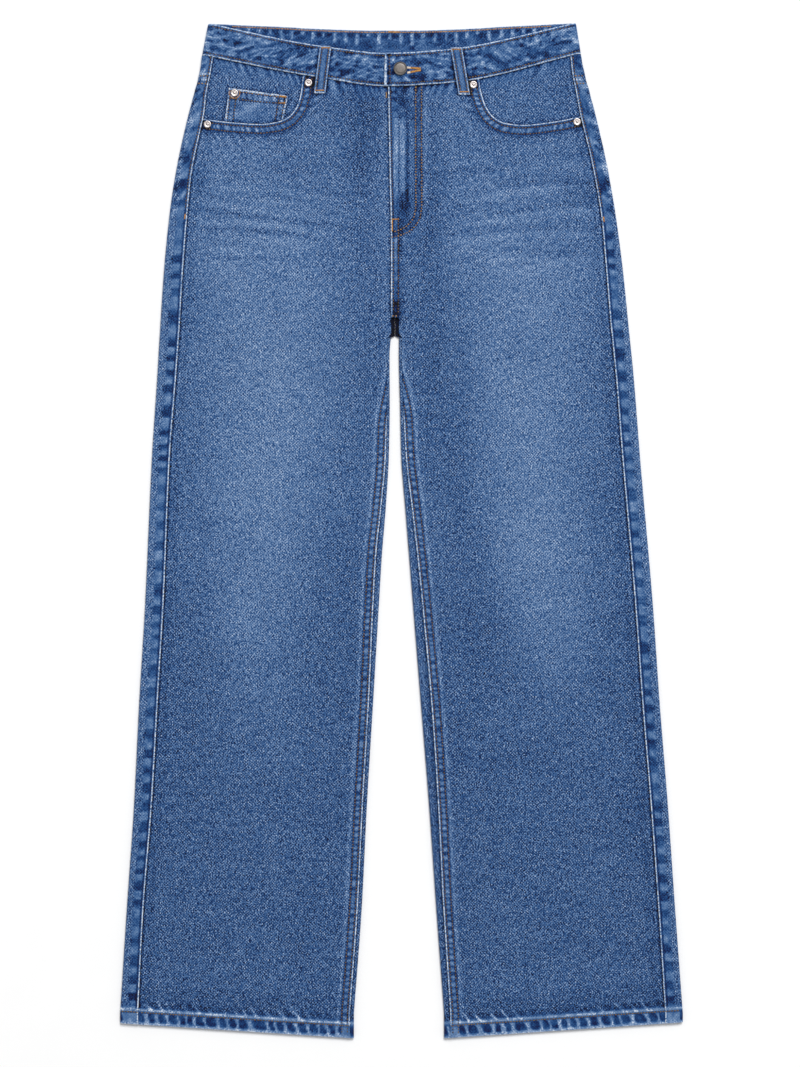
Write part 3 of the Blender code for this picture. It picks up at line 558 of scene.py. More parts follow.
# Lines over the fly, from its edge or at an x of their own, with the stretch where each one shows.
FlyLine = namedtuple("FlyLine", "at width down_from down_to soft tone height", defaults=(0.0,))
FLY_EDGE_LINES = (
    FlyLine(1.2, 1.4, 0, FRONT_POINT - 1, 6, 0.0, 0.35),
    FlyLine(2.3, 0.9, 0, FRONT_POINT - 1, 6, -0.25),
    FlyLine(FLY_ROWS[1], 1.0, FLY_FOOT, 312, 6, -0.22),
    FlyLine(5.0, 5.0, 294, 316, 8, -0.20),
    FlyLine(11.5, 3.5, 236, 320, 16, -0.05),
)
FLY_LINES = (FlyLine(6.2, 2.2, 104, 206, 20, -0.14),)
FLY_STRIPES = (
    Mark(9.3, 1.1, 0.05),
    Mark(-2.7, 0.9, -0.10),
    Mark(-5.9, 2.2, 0.0, 0.3),
    Mark(0.8, 2.4, 0.0, 0.3),
)
J_GROOVE = (
    Mark(0.0, 1.1, -0.20),
    Mark(0.0, 1.2, 0.0, -0.2),
)


def fly_lines(distance, down, rows):
    """What lines beside each other over the fly add to the tone and to the height."""
    tone = relief = 0.0
    for row in rows:
        shape = bell(distance, row.at, row.width) * span(down, row.down_from, row.down_to, row.soft)
        tone, relief = tone + row.tone * shape, relief + row.height * shape
    return tone, relief


def fly_wear(x, down, edge):
    """Change of tone of the fly's worn stripes, its two dark places, and the puckers below the J."""
    stripes = span(down, 100, 183, 18) * (0.85 + 0.25 * rough(x, down, 11.0, 6))
    lanes = span(x, -8.3, -3.5, 1.5) + span(x, -1.9, 3.6, 1.8)
    threads = 0.6 * streaks(down, x, 16.0, 1.6, 0.0, 3) + 0.5 * rough(x, down, 2.6, 12)
    upper = bell(x, 4.0, 10.0) * bell(down, 82, 20)
    lower = bell(x, 2.0, 8.0) * bell(down, 191, 19)
    knots = span(edge, 3.0, 9.0, 1.5) * span(down, 70, 100, 6)
    below = span(down, FLY_FOOT, 312, 6) * span(edge, 3.2, 7.0, 1.4)
    dusk = ease((down - 240) / 60)
    tone = stripes * lanes * (0.165 + 0.10 * threads)
    tone = tone + upper * (0.14 * streaks(x, down, 9.0, 4.0, 0.6, 4) + 0.14 * vein(x, down, 6.0, 14) - 0.17)
    tone = tone + 0.10 * knots * ripple(down, 8.0, 13, 0.6)
    tone = tone + lower * (0.13 * streaks(down, x, 9.0, 3.0, 0.0, 5) - 0.17)
    tone = tone - 0.13 * span(x, -4.5, 1.4, 1.5) * span(down, 205, 243, 5)
    puckers = mix(0.07, -0.06, dusk) + 0.07 * ripple(down, 11.0, 8, 0.9) + 0.09 * rough(x, down, 2.4, 15)
    return stripes, tone + below * puckers


def fly_look(x, down, tone, relief):
    """The fly on the left front: its folded edge, the stripes over the doubled cloth, and the J seam."""
    edge = x - fly_edge(down)
    bright = (0.45 + 0.55 * ease((330 - down) / 40)) * ease((FRONT_POINT + 2 - down) / 6)
    tone = worn_edge(tone, edge, 0.76, 1.6, bright, 0.8)
    stripes, worn = fly_wear(x, down, edge)
    outer, along = near(J_OUTER, x, down)
    inner, _ = near(J_INNER, x, down)
    beside = bell(outer, -4.0, 2.4) * span(along, 20, 190, 30) * (0.7 + 0.6 * rough(along, 0.0, 8.0, 9))
    at_fly = ease((FLY_FOOT + 6 - down) / 12)
    tone = tone + worn + 0.08 * beside - 0.06 * span(outer, 1.0, 6.0, 1.5) * at_fly
    striped = [stripes * part for part in marks(x, FLY_STRIPES)]
    for changed, raised in (fly_lines(edge, down, FLY_EDGE_LINES), fly_lines(x, down, FLY_LINES), striped,
                            marks(outer, J_GROOVE), marks(inner, J_GROOVE)):
        tone, relief = tone + changed, relief + raised
    return tone, relief


def front_inner_x(side, down):
    """The front's edge at the fly, at the step where its seam ends, and along the inseam."""
    at_fork = side.inner(CROTCH) + side.out * (FORK_REACH + SEAM_GAP / 2)
    share = ease((down - CROTCH + FORK_STEP) / FORK_STEP)
    step = mix(CENTRE + side.out * CROTCH_STRIP / 2, at_fork, share)
    fly = fly_edge(down) + (SEAM_TUCK if side.out < 0 else 0.0)
    leg = side.inner(down) + side.out * (np.maximum(side.inseam(down), FORK_REACH) + SEAM_GAP / 2)
    return np.where(down >= CROTCH, leg, np.where(down > FRONT_POINT, step, fly))


def front_outer_x(side, down):
    """The front's edge at the side seam."""
    return side.fold(down) - side.out * (side.strip(down) + SEAM_GAP / 2)


def inseam_hidden(side, down):
    """How far the inseam still lies round the fold, out of sight, below the crotch."""
    start = CROTCH + (14.0 if side.out < 0 else 6.0)
    return INSEAM_TURN * (1 - ease((down - start) / 85.0))


def painted_loop_shade(x, down):
    """Painted shade along both sides of the front belt loops and under their lower ends."""
    shade = 0.0 * x
    for (x0, down0), (x1, down1) in FRONT_LOOPS.values():
        share = (down - down0) / (down1 - down0)
        away = abs(x - mix(x0, x1, share)) - LOOP_SIZE[0] / 2
        shade = shade + bell(away, 0.4, 2.0) * span(down, down0 + 3, down1 + 1, 4)
        shade = shade + 0.7 * span(away, -99, 1.0, 2.0) * bell(down, down1 + 0.8, 1.6)
    return shade


# Where the rivets sit, and how far one on a pocket is raised.
Rivet = namedtuple("Rivet", "name side x down raised")
COIN_RIVET = Rivet("rivet_coin", RIGHT, -177.0, 74.4, PATCH_CLOTH - CLOTH)
RIVETS = (
    Rivet("rivet_right_inner", RIGHT, -98.6, 63.6, 0.0),
    Rivet("rivet_right_outer", RIGHT, -205.6, 107.6, 0.0),
    Rivet("rivet_left_inner", LEFT, 76.2, 65.6, 0.0),
    Rivet("rivet_left_outer", LEFT, 186.0, 105.0, 0.0),
    COIN_RIVET,
)


# Painted shade: a dark ring round each rivet, where it stands on the cloth.
def painted_rivet_shade(x, down):
    rings = [bell(np.hypot(x - row.x, down - row.down), RIVET["radius"] + 0.9, 1.1) for row in RIVETS]
    return sum(rings)


# Marks beside each edge of a front panel: grooves at the stitch rows, painted shade, and the swell of the
# seam.
# The painted shade is a shadow along the raised side seam, below the pocket mouth, and along the fly's edge.
SIDE_SEAM_MARKS = (
    Mark(0.3, 1.4, -0.27),
    Mark(7.0, 5.0, -0.04),
    Mark(3.4, 1.2, 0.035),
    Mark(0.2, 1.6, 0.0, -0.45),
)
INSEAM_MARKS = (
    Mark(2.4, 0.9, -0.24),
    Mark(8.5, 1.0, -0.22),
    Mark(12.0, 2.0, 0.12),
    Mark(0.8, 1.2, 0.0, 0.55),
    Mark(8.5, 0.9, 0.0, -0.25),
)
MOUTH_MARKS = (
    Mark(3.1, 0.9, -0.26),
    Mark(9.8, 1.0, -0.26),
    Mark(12.4, 2.0, -0.10),
    Mark(1.0, 1.4, 0.0, 0.45),
    Mark(3.3, 0.8, 0.0, -0.22),
    Mark(9.8, 0.8, 0.0, -0.22),
)
UNDER_FLY_MARKS = (
    Mark(0.2, 1.6, -0.20),
    Mark(6.0, 3.5, 0.02),
)


def inseam_look(side, x, down, tone):
    """Relief, tone and calm beside the inseam: a bright lapped edge, a ladder of puckers and an inner row."""
    inner = side.out * (x - front_inner_x(side, down)) + inseam_hidden(side, down)
    shows = ease((down - CROTCH) / 12)
    rungs = ripple(down, 6.7, side.seed + 7, 0.6)
    ladder = span(inner, 2.9, 7.9, 1.2)
    changed, raised = marks(inner, INSEAM_MARKS)
    tone = worn_edge(tone, inner, 0.78, 1.1, shows)
    tone = tone + shows * (ladder * (0.18 * np.clip(rungs, -0.8, 0.6) + 0.075) + changed)
    relief = shows * (raised + 0.20 * shows * ladder * rungs)
    return relief, tone, 0.7 * span(inner, -9, 10.0, 3.0) * shows, inner


def mouth_look(side, x, down, tone):
    """Relief, tone and calm at the pocket mouth: a bright rolled edge, puckers between two stitch rows, and
    painted shade below them.
    """
    mouth, along = near(side.mouth_path, x, down, 36.0)
    mouth = mouth * side.out
    puckers = span(mouth, 4.0, 8.8, 1.0)
    rays = span(mouth, 11.5, 22.0, 6.0) * ripple(along + 0.8 * mouth, 9.0, side.seed + 13)
    uneven = 0.5 + 0.5 * rough(along, 0.0, 26.0, side.seed + 18)
    pearls = ripple(along + 0.4 * mouth, 5.6, side.seed + 10, 0.8)
    changed, raised = marks(mouth, MOUTH_MARKS)
    tone = worn_edge(tone, mouth, 0.77) + changed
    tone = tone + puckers * (0.21 * np.maximum(pearls, -0.45) - 0.015) + 0.13 * np.minimum(rays, 0.3) * uneven
    relief = raised + 0.14 * puckers * ripple(along, 5.6, side.seed + 10)
    return relief, tone, 0.8 * span(mouth, -9, 12.0, 4.0)


def below_band(side, x, down):
    """Height, tone and calm that the waistband's shadow adds, and the short puckers that spread below it."""
    below = down - front_bottom(x)
    pucker = ripple(x + 0.45 * below * np.sign(x - CENTRE), 8.5, side.seed + 12, 0.7)
    fading = ease(1 - below / (15.0 + 9.0 * rough(x, 0.0, 9.0, side.seed + 14)))
    tone = fading * (0.16 * pucker - 0.01) - 0.20 * bell(below, 0.3, 2.2)
    return 0.18 * fading * pucker, tone, 0.6 * fading


def front_look(side, x, down):
    """Relief, tone and calm of a front panel."""
    relief = 0.30 * rough(x, down * 0.6, 62.0, side.seed + 5)
    relief = relief + 0.14 * rough(x - 0.6 * down, down, 27.0, side.seed + 6)
    relief = relief * span(down, 150, 1010, 80)
    changed, raised = marks(side.out * (front_outer_x(side, down) - x), SIDE_SEAM_MARKS)
    tone = leg_tone(side, x, down) + changed
    inseam_relief, tone, calm, from_inseam = inseam_look(side, x, down, tone)
    mouth_relief, tone, mouth_calm = mouth_look(side, x, down, tone)
    band_relief, band_shade, band_calm = below_band(side, x, down)
    relief = relief + raised + inseam_relief + mouth_relief + band_relief
    # The waistband's painted shadow and its puckers, and the belt loops' painted shade.
    tone = tone + band_shade - 0.27 * painted_loop_shade(x, down)
    calm = np.maximum(np.maximum(calm, mouth_calm), band_calm)
    if side.out > 0:
        tone, relief = fly_look(x, down, tone, relief)
        calm = np.maximum(calm, 0.20 * span(x, -99, 21, 5) * ease((232 - down) / 16 + 0.5))
        calm = np.maximum(calm, 0.6 * span(x - fly_edge(down), -9, 9, 2) * ease((FRONT_POINT + 2 - down) / 8))
    else:
        # Painted shadow on the right front along the left front's raised fly edge.
        shade, _ = marks(fly_edge(down) - x, UNDER_FLY_MARKS)
        tone = tone + shade * ease((FRONT_POINT + 10 - down) / 10)
    # Painted shade round the rivets.
    tone = tone - 0.25 * painted_rivet_shade(x, down)
    at_inseam = span(from_inseam, -9, 9, 2)
    hem_relief, tone, hem_calm = hem_look(side.hem(x) - down, x, tone, side.seed + 20, at_inseam)
    return relief + hem_relief, tone, np.maximum(calm, hem_calm)


# The strip's dark blots don't go far below this tone.
DARKEST = 0.225


def strip_look(side, from_seam, down):
    """Relief and tone of the back's strip beside the side seam and round the fold."""
    tone = mix(0.436, 0.404, ease((down - 560) / 260))
    tone = tone + 0.014 * rough(from_seam * 2, down, 26.0, side.seed + 30)
    tone = worn_edge(tone, from_seam, 0.76) - 0.24 * bell(from_seam, 2.5, 0.9)
    # below the hip: dark squares between light bars
    phase = down / 19.0 + 0.5 * rough(0.0, down, 48.0, side.seed + 32)
    knots = np.cos(2 * np.pi * phase + 0.5 * rough(from_seam, down, 6.0, side.seed + 39))
    fine = ripple(down, 7.3, side.seed + 33, 0.5)
    wide = 12.0 + 2.0 * rough(0.0, down, 12.0, side.seed + 35) - 3.0 * np.clip(knots, 0, 1)
    beside = span(from_seam, 3.2, wide, 2.4) * ease((down - 205) / 25)
    dark = ease((0.5 - knots) / 0.9) * (0.8 + 0.35 * rough(0.0, down, 21.0, side.seed + 38))
    marble = 0.5 + 0.5 * vein(from_seam * 1.5, down, 7.0, side.seed + 40)
    tone = tone + beside * (0.13 * (1 - dark) * marble - 0.18 * dark + 0.035 * fine)
    # above the hip: slanting folds and blots
    upper = span(from_seam, 3.2, 17.0, 3.0) * ease((215 - down) / 25)
    slanted = ripple(down - 0.45 * from_seam, 19.0, side.seed + 34, 1.3)
    blots = ease((rough(from_seam, down - 0.4 * from_seam, 7.5, side.seed + 36) - 0.05) / 0.4)
    light = vein(from_seam - 0.5 * down, down, 8.0, side.seed + 37)
    light = light + 0.6 * vein(from_seam, down, 4.5, side.seed + 41)
    small = ease((rough(from_seam, down, 4.2, side.seed + 42) - 0.15) / 0.4)
    tone = tone + upper * (0.055 * slanted - 0.035 - 0.17 * blots - 0.09 * small + 0.17 * light)
    tone = tone - 0.10 * bell(from_seam, 8.0, 5.5) * bell(down, 168.5, 10.0)
    tone = np.where(from_seam > 3.6, np.maximum(tone, DARKEST + 0.2 * (tone - DARKEST)), tone)
    relief = 0.55 * bell(from_seam, 1.1, 1.2) + beside * (0.20 * knots + 0.08 * fine)
    return relief + 0.15 * upper * slanted, tone


def yoke_down(side, x):
    """Where the yoke's seam crosses the back at x."""
    start = side.fold(YOKE_SIDE) - side.out * fold_height(YOKE_SIDE) / 2
    return YOKE_SIDE + (YOKE_CENTRE - YOKE_SIDE) * (x - start) / (CENTRE - start)


# A felled seam: its bright edge and the grooves of its two rows.
FELLED_MARKS = (
    Mark(0.6, 0.9, 0.22),
    Mark(FELLED_ROWS[0], 0.9, -0.13),
    Mark(FELLED_ROWS[1], 0.9, -0.13),
)


def felled_seam(past, along):
    """Change of tone across a felled seam: a bright edge and puckers between two dark stitch rows."""
    return marks(past, FELLED_MARKS)[0] + 0.06 * span(past, 3.2, 7.8, 1.2) * ripple(along, 8.0, 44)


def seat_tone(side, x, down):
    """The back, which lies on the table: worn over the seat and the thighs."""
    tone = 0.375 + 0.075 * bell(x, side.out * 105, 70) * bell(down, 250, 150)
    tone = tone + 0.055 * bell(x, side.out * 135, 62) * bell(down, 520, 190)
    tone = tone + 0.010 * rough(x, down, 50.0, side.seed + 40)
    tone = tone + 0.008 * rough(x + 0.7 * down, down, 17.0, side.seed + 41)
    seat = span(down, yoke_down(side, x), CROTCH, 3.0)
    tone = tone + seat * felled_seam(side.out * (x - CENTRE) + SEAT_ROW, down)
    return tone + felled_seam(yoke_down(side, x) - down, x)


# ---------------------------------------------------------------- meshes
def to_world(points):
    """(x, down, z) in millimetres to the shared frame in metres."""
    points = np.asarray(points, dtype=float)
    return np.stack([points[..., 0], LENGTH / 2 - points[..., 1], points[..., 2]], axis=-1) * MM


def add_mesh(name, points, faces, look, values=None, sharp=65.0):
    """A smooth mesh of points in metres, with a value of each kind for every point."""
    mesh = bpy.data.meshes.new(name)
    mesh.from_pydata(points.tolist(), [], faces)
    bm = bmesh.new()
    bm.from_mesh(mesh)
    bmesh.ops.recalc_face_normals(bm, faces=bm.faces)
    bm.to_mesh(mesh)
    bm.free()
    mesh.shade_smooth()
    mesh.set_sharp_from_angle(angle=np.radians(sharp))
    for key, value in (values or {}).items():
        mesh.attributes.new(key, "FLOAT", "POINT").data.foreach_set("value", np.asarray(value, np.float32))
    mesh.materials.append(look)
    piece = bpy.data.objects.new(name, mesh)
    bpy.context.scene.collection.objects.link(piece)
    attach(piece, "root")
    return piece


def sparse(count, keep=(), step=3):
    """Every few stations, both ends, and those to keep."""
    return np.unique(np.concatenate([np.arange(0, count, step), [count - 1], np.asarray(keep, int)]))


def grid_faces(index):
    """Four-sided faces between the points of a grid."""
    quads = np.stack([index[:-1, :-1], index[:-1, 1:], index[1:, 1:], index[1:, :-1]], axis=-1)
    return quads.reshape(-1, 4).tolist()


def rim_faces(outer_edge, inner_edge, stations):
    """The wall along one edge of a shell: each coarse inner step meets several fine outer ones."""
    return [[*outer_edge[a:b + 1].tolist(), int(inner_edge[k + 1]), int(inner_edge[k])]
            for k, (a, b) in enumerate(zip(stations[:-1], stations[1:]))]


def shell(name, outer, inner, tones, look, keep_rows=(), calm=0.0, step=3):
    """A closed cloth wall: a fine outer skin and a sparser inner one, as grids of (x, down, z) points.

    `tones` has the outer and the inner skin's tone, and `calm` says where the flecks fade."""
    rows, columns = sparse(outer.shape[0], keep_rows, step), sparse(outer.shape[1], (), step)
    inner = inner[rows][:, columns]
    fine = np.arange(outer.shape[0] * outer.shape[1]).reshape(outer.shape[:2])
    coarse = fine.size + np.arange(len(rows) * len(columns)).reshape(len(rows), len(columns))
    faces = grid_faces(fine) + grid_faces(coarse[:, ::-1])
    faces += rim_faces(fine[0], coarse[0], columns) + rim_faces(fine[-1], coarse[-1], columns)
    faces += rim_faces(fine[:, 0], coarse[:, 0], rows) + rim_faces(fine[:, -1], coarse[:, -1], rows)
    points = to_world(np.concatenate([outer.reshape(-1, 3), inner.reshape(-1, 3)]))
    calm = np.broadcast_to(calm, outer.shape[:2])
    values = {"tone": [tones[0], tones[1][rows][:, columns]], "calm": [calm, calm[rows][:, columns]]}
    values = {key: np.concatenate([np.ravel(part) for part in parts]) for key, parts in values.items()}
    return add_mesh(name, points, faces, look, values)


# A cloth wall as grids: the points of its outer skin and the way out of it, the relief that pushes them out,
# the wall's thickness, the tones of its outer and inner sides, and where its flecks fade.
Cloth = namedtuple("Cloth", "x down z nx nz push thick tone inside calm",
                   defaults=(0.0, 1.0, 0.0, CLOTH, INSIDE_TONE, INSIDE_TONE, 0.0))
# The least width and length that a panel is measured at, in metres. No sheet is
# declared narrower than this, in metres.
SHEET_LEAST = 0.0105


def side_by_side(lines):
    """Lines of cloth, one for each station across, as the grids of one wall."""
    grid = np.stack([np.stack(np.broadcast_arrays(*line), axis=-1) for line in lines], axis=1)
    return Cloth(*np.moveaxis(grid, -1, 0))


def make_panel(node, slot, cloth, keep_rows=(), step=3):
    cloth = Cloth(*np.broadcast_arrays(*cloth))
    plain = np.stack([cloth.x, cloth.down, cloth.z], axis=-1)
    way_out = np.stack([cloth.nx, 0 * cloth.nx, cloth.nz], axis=-1)
    outer = plain + cloth.push[..., None] * way_out
    inner = plain - cloth.thick[..., None] * way_out
    tones = (cloth.tone, cloth.inside)
    piece = shell(node + "_cloth", outer, inner, tones, DENIM[slot], keep_rows, cloth.calm, step)
    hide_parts(node)
    points = to_world(plain)
    width = np.linalg.norm(np.diff(points, axis=1), axis=-1).sum(axis=1).max()
    length = np.linalg.norm(np.diff(points, axis=0), axis=-1).sum(axis=0).max()
    width, length = max(float(width), SHEET_LEAST), max(float(length), SHEET_LEAST)
    return piece


# ---------------------------------------------------------------- upper layer
def front_top_down(side, x_at):
    """The front's upper edge: the waistband's edge, then the pocket mouth."""
    guess = np.full(np.shape(x_at(80.0)), 80.0)
    for _ in range(14):
        x = x_at(guess)
        inside = side.out * (x - side.mouth_end) <= 0
        guess = mix(guess, np.where(inside, front_bottom(x), side.mouth(x)) + SEAM_GAP, 0.6)
    return guess


def front_columns(side):
    """Shares across the front: close together beside the seams, at the fly and round the mouth's end."""
    fine = np.linspace(0.0, 1.0, 3001)
    x = mix(front_inner_x(side, 120.0), front_outer_x(side, 120.0), fine)
    top = front_top_down(side, lambda down: mix(front_inner_x(side, down), front_outer_x(side, down), fine))
    width = abs(x[-1] - x[0])
    spacing = np.interp(fine * width, (0, 9, 14, width), (0.9, 1.0, 1.7, 1.7))
    spacing = np.minimum(spacing, np.interp((1 - fine) * width, (0, 6, 12, width), (1.0, 1.1, 1.7, 1.7)))
    if side.out > 0:
        spacing = np.where(x < 26, np.minimum(spacing, 1.25), spacing)
    step = np.hypot(np.diff(x), 0.7 * np.diff(top))
    travelled = np.concatenate(([0.0], np.cumsum(step / spacing[1:])))
    return np.interp(np.linspace(0, travelled[-1], int(travelled[-1]) + 1), travelled, fine)


# Stations down a leg: where the seat's end and the hem's begin, how far apart between, and how many in each.
LEG_ROWS = dict(seat=140.0, seat_rows=46, hem=1030.0, step=2.2, hem_rows=24)
BACK_ROWS = dict(seat_rows=26, hem_rows=18)


def make_front(side):
    """A front leg panel, from the waistband and the pocket mouth down to the hem."""
    shares = front_columns(side)

    def x_at(down):
        return mix(front_inner_x(side, down), front_outer_x(side, down), shares)
    top = front_top_down(side, x_at)
    edge = side.hem(x_at(1060.0))
    rows = [mix(top, LEG_ROWS["seat"], share**1.1) for share in np.linspace(0, 1, LEG_ROWS["seat_rows"])[:-1]]
    legs = np.arange(LEG_ROWS["seat"], LEG_ROWS["hem"], LEG_ROWS["step"])
    step_at = np.argmin(abs(legs - FRONT_POINT))
    legs = np.concatenate([legs[:step_at], [FRONT_POINT - 0.4, FRONT_POINT + 0.4], legs[step_at + 1:]])
    rows += [np.full(shares.shape, down) for down in legs]
    rows += [mix(LEG_ROWS["hem"], edge, share) for share in np.linspace(0, 1, LEG_ROWS["hem_rows"])]
    down = np.stack(rows)
    x = np.stack([x_at(row) for row in rows])
    z = upper_face(side, x, down) + (fly_lift(x, down) if side.out > 0 else 0.0)
    relief, tone, calm = front_look(side, x, down)
    cloth = Cloth(x, down, z, push=relief, thick=cloth_at(side, x, down), tone=tone, calm=calm)
    middle = down[:, len(shares) // 2]
    keep = np.flatnonzero((abs(middle - CROTCH) < 26) | (middle < 150) | (middle > 1052))
    return make_panel("front_" + side.name, "denim", cloth, keep)


def facing_face(side, x, down):
    """Height of a pocket facing's outer face, under the front."""
    return upper_face(side, x, down) - CLOTH - SEAM_GAP


# The coin pocket's outline, round which the facing gets a painted shadow, and the marks beside the facing's
# side seam: a painted shadow line, faint painted shade and a shallow groove.
COIN_RIM = resample([(-187.1, 103.4), (-182.9, 68.9), (-120.3, 77.4), (-125.6, 100.7)], 2.0, False)
FACING_SEAM_MARKS = (
    Mark(0.2, 1.5, -0.14),
    Mark(8.0, 5.0, -0.02),
    Mark(0.0, 1.5, 0.0, -0.2),
)


def facing_line(side, share, falls):
    """One line of a pocket facing, from the waistband down."""
    down = np.full(falls.shape, 60.0)
    for _ in range(4):
        x = mix(side.mouth_end - side.out * FACING_REACH, front_outer_x(side, down), share)
        down = mix(front_bottom(x) + SEAM_GAP, FACING_END, falls)
    below = down - front_bottom(x)
    pucker = ripple(x + 0.5 * side.out * below, 8.0, side.seed + 60, 0.8)
    fading = ease(1 - below / (14.0 + 6.0 * rough(x, 0.0, 9.0, side.seed + 62)))
    mouth, _ = near(side.mouth_path, x, down)
    changed, raised = marks(side.out * (front_outer_x(side, down) - x), FACING_SEAM_MARKS)
    # Painted shadows: under the waistband's edge, along the front's pocket mouth and round the coin pocket.
    tone = 0.398 + 0.016 * rough(x, down, 21.0, side.seed + 61) - 0.17 * bell(below, 0.3, 1.9)
    tone = tone + fading * (0.17 * pucker + 0.02) - 0.13 * bell(mouth, 0.0, 2.0) + changed
    if side.out < 0:
        pocket, _ = near(COIN_RIM, x, down)
        tone = tone - 0.17 * bell(pocket, 0.0, 2.4)
    z, relief = facing_face(side, x, down), 0.18 * fading * pucker + raised
    return Cloth(x, down, z, push=relief, tone=tone, calm=0.55 * ease(1 - below / 18.0))


def make_facing(side):
    falls = np.linspace(0.0, 1.0, 36)
    cloth = side_by_side([facing_line(side, share, falls) for share in np.linspace(0.0, 1.0, 56)])
    return make_panel("pocket_facing_" + side.name, "denim_back", cloth)


# Marks down the coin pocket from its top: grooves at its two rows, painted shade along its foot beside the
# front's mouth edge, and the roll of its top edge.
COIN_TOP_MARKS = (
    Mark(COIN_ROWS["top"], 0.9, -0.26),
    Mark(COIN_ROWS["lower"], 0.9, -0.26),
    Mark(COIN_SIZE[1], 2.5, -0.12),
    Mark(0.9, 1.1, 0.0, 0.25),
)
COIN_SIDE_MARKS = (
    Mark(2.3, 0.8, -0.24),
    Mark(8.6, 0.9, -0.24),
    Mark(0.9, 1.1, 0.0, 0.2),
)


def coin_point(share, fall):
    """A place on the coin pocket, from its width and depth."""
    (x_out, down_out), (x_in, down_in) = COIN_POCKET["top_outer"], COIN_POCKET["top_inner"]
    top_x, top_down = mix(x_out, x_in, share), mix(down_out, down_in, share)
    foot_x = mix(COIN_POCKET["foot_outer"], COIN_POCKET["foot_inner"], share)
    foot_down = RIGHT.mouth(foot_x) - SEAM_GAP
    return mix(top_x, foot_x, fall), mix(top_down, foot_down, fall)


def coin_line(share, fall):
    """One line of the coin pocket, from its top edge down."""
    x, down = coin_point(share, fall)
    width, height = COIN_SIZE
    from_top = fall * height
    from_side = np.minimum(share, 1 - share) * width
    tone = 0.425 + 0.035 * rough(x, down, 9.0, 71)
    tone = worn_edge(tone, from_top, 0.78, 1.5)
    tone = worn_edge(tone, from_side, 0.78, 1.4)
    at_top = span(from_top, 3.2, 8.4, 1.2)
    tone = tone + 0.15 * at_top * ripple(x, 6.5, 74, 0.7)
    tone = tone + 0.13 * span(from_side, 3.0, 7.8, 1.2) * ripple(down, 6.0, 75)
    top_tone, top_relief = marks(from_top, COIN_TOP_MARKS)
    side_tone, side_relief = marks(from_side, COIN_SIDE_MARKS)
    tone = tone + top_tone + side_tone + 0.09 * bell(x + 2.0 * down, 20.0, 9.0)
    relief = top_relief + side_relief + 0.12 * at_top * ripple(x, 6.5, 74)
    z = facing_face(RIGHT, x, down) + SEAM_GAP + PATCH_CLOTH
    return Cloth(x, down, z, push=relief, thick=PATCH_CLOTH, tone=tone, inside=tone, calm=0.25)


def make_coin_pocket():
    falls = np.linspace(0.0, 1.0, 26)
    cloth = side_by_side([coin_line(share, falls) for share in np.linspace(0.0, 1.0, 50)])
    return make_panel("coin_pocket", "denim", cloth)


# ---------------------------------------------------------------- lower layer
TURN = tuple(np.linspace(0.0, 1.0, 8)[:-1])


def lower_columns(side, floor_step, strip_steps):
    """Stations from the side seam round the fold and under the garment to its inner end."""
    columns = [("strip", share) for share in strip_steps]
    columns += [("turn", share) for share in TURN]
    half = abs(side.fold(400.0) - CENTRE)
    columns += [("floor", share) for share in np.linspace(0.0, 1.0, int(half / floor_step))[:-1]]
    columns += [("curl", share) for share in TURN]
    columns += [("tip", share) for share in (0.0, 0.35, 0.7, 1.0)]
    return columns


def lower_point(side, column, down):
    """A point on the outer skin of the lower layer and its outward direction, as (x, z) and (nx, nz)."""
    zone, share = column
    down = np.asarray(down, dtype=float)
    flat = 0.0 * down
    out, fold = side.out, side.fold(down)
    radius = fold_height(down) / 2
    is_leg = down >= CROTCH
    small = INNER_HEIGHT / 2
    if zone == "strip":
        x = fold - out * mix(side.strip(down) - SEAM_GAP / 2, radius, share)
        return (x, upper_face(side, x, down)), (flat, flat + 1.0)
    if zone == "turn":
        angle = np.pi * (0.5 - share)
        normal = (out * np.cos(angle), np.sin(angle))
        x, z = fold - out * radius + radius * normal[0], radius + radius * normal[1]
        return (x, z), (flat + normal[0], flat + normal[1])
    floor_start = fold - out * radius
    if zone == "floor":
        floor_end = np.where(is_leg, side.inner(down) + out * small, CENTRE + out * FORK_LENGTH)
        x = mix(floor_start, floor_end, share)
        return (x, table_lift(side, x, down)), (flat, flat - 1.0)
    reach = mix(FORK_LENGTH, FORK_REACH, share) if zone == "curl" else mix(FORK_REACH, SEAM_GAP / 2, share)
    seat_x = CENTRE + out * reach + flat
    if zone == "curl":
        angle = np.pi * (share - 0.5)
        normal = (-out * np.cos(angle), np.sin(angle))
        leg_x, leg_z = side.inner(down) + out * small + small * normal[0], small + small * normal[1] + flat
    else:
        normal = (0.0, 1.0)
        seam = np.maximum(side.inseam(down), FORK_REACH) - SEAM_GAP / 2
        leg_x = side.inner(down) + out * mix(small, seam, share)
        leg_z = upper_face(side, leg_x, down)
    x = np.where(is_leg, leg_x, seat_x)
    z = np.where(is_leg, leg_z, table_lift(side, seat_x, down))
    return (x, z), (np.where(is_leg, normal[0], 0.0), np.where(is_leg, normal[1], -1.0))


YOKE_MARKS = (
    Mark(YOKE_ROWS[0], 0.9, -0.24),
    Mark(YOKE_ROWS[1], 0.9, -0.24),
    Mark(YOKE_ROWS[0] - 1.7, 0.8, 0.34),
    Mark(YOKE_ROWS[1] + 1.7, 0.8, 0.34),
    Mark(YOKE_SIDE, 0.7, -0.16),
)


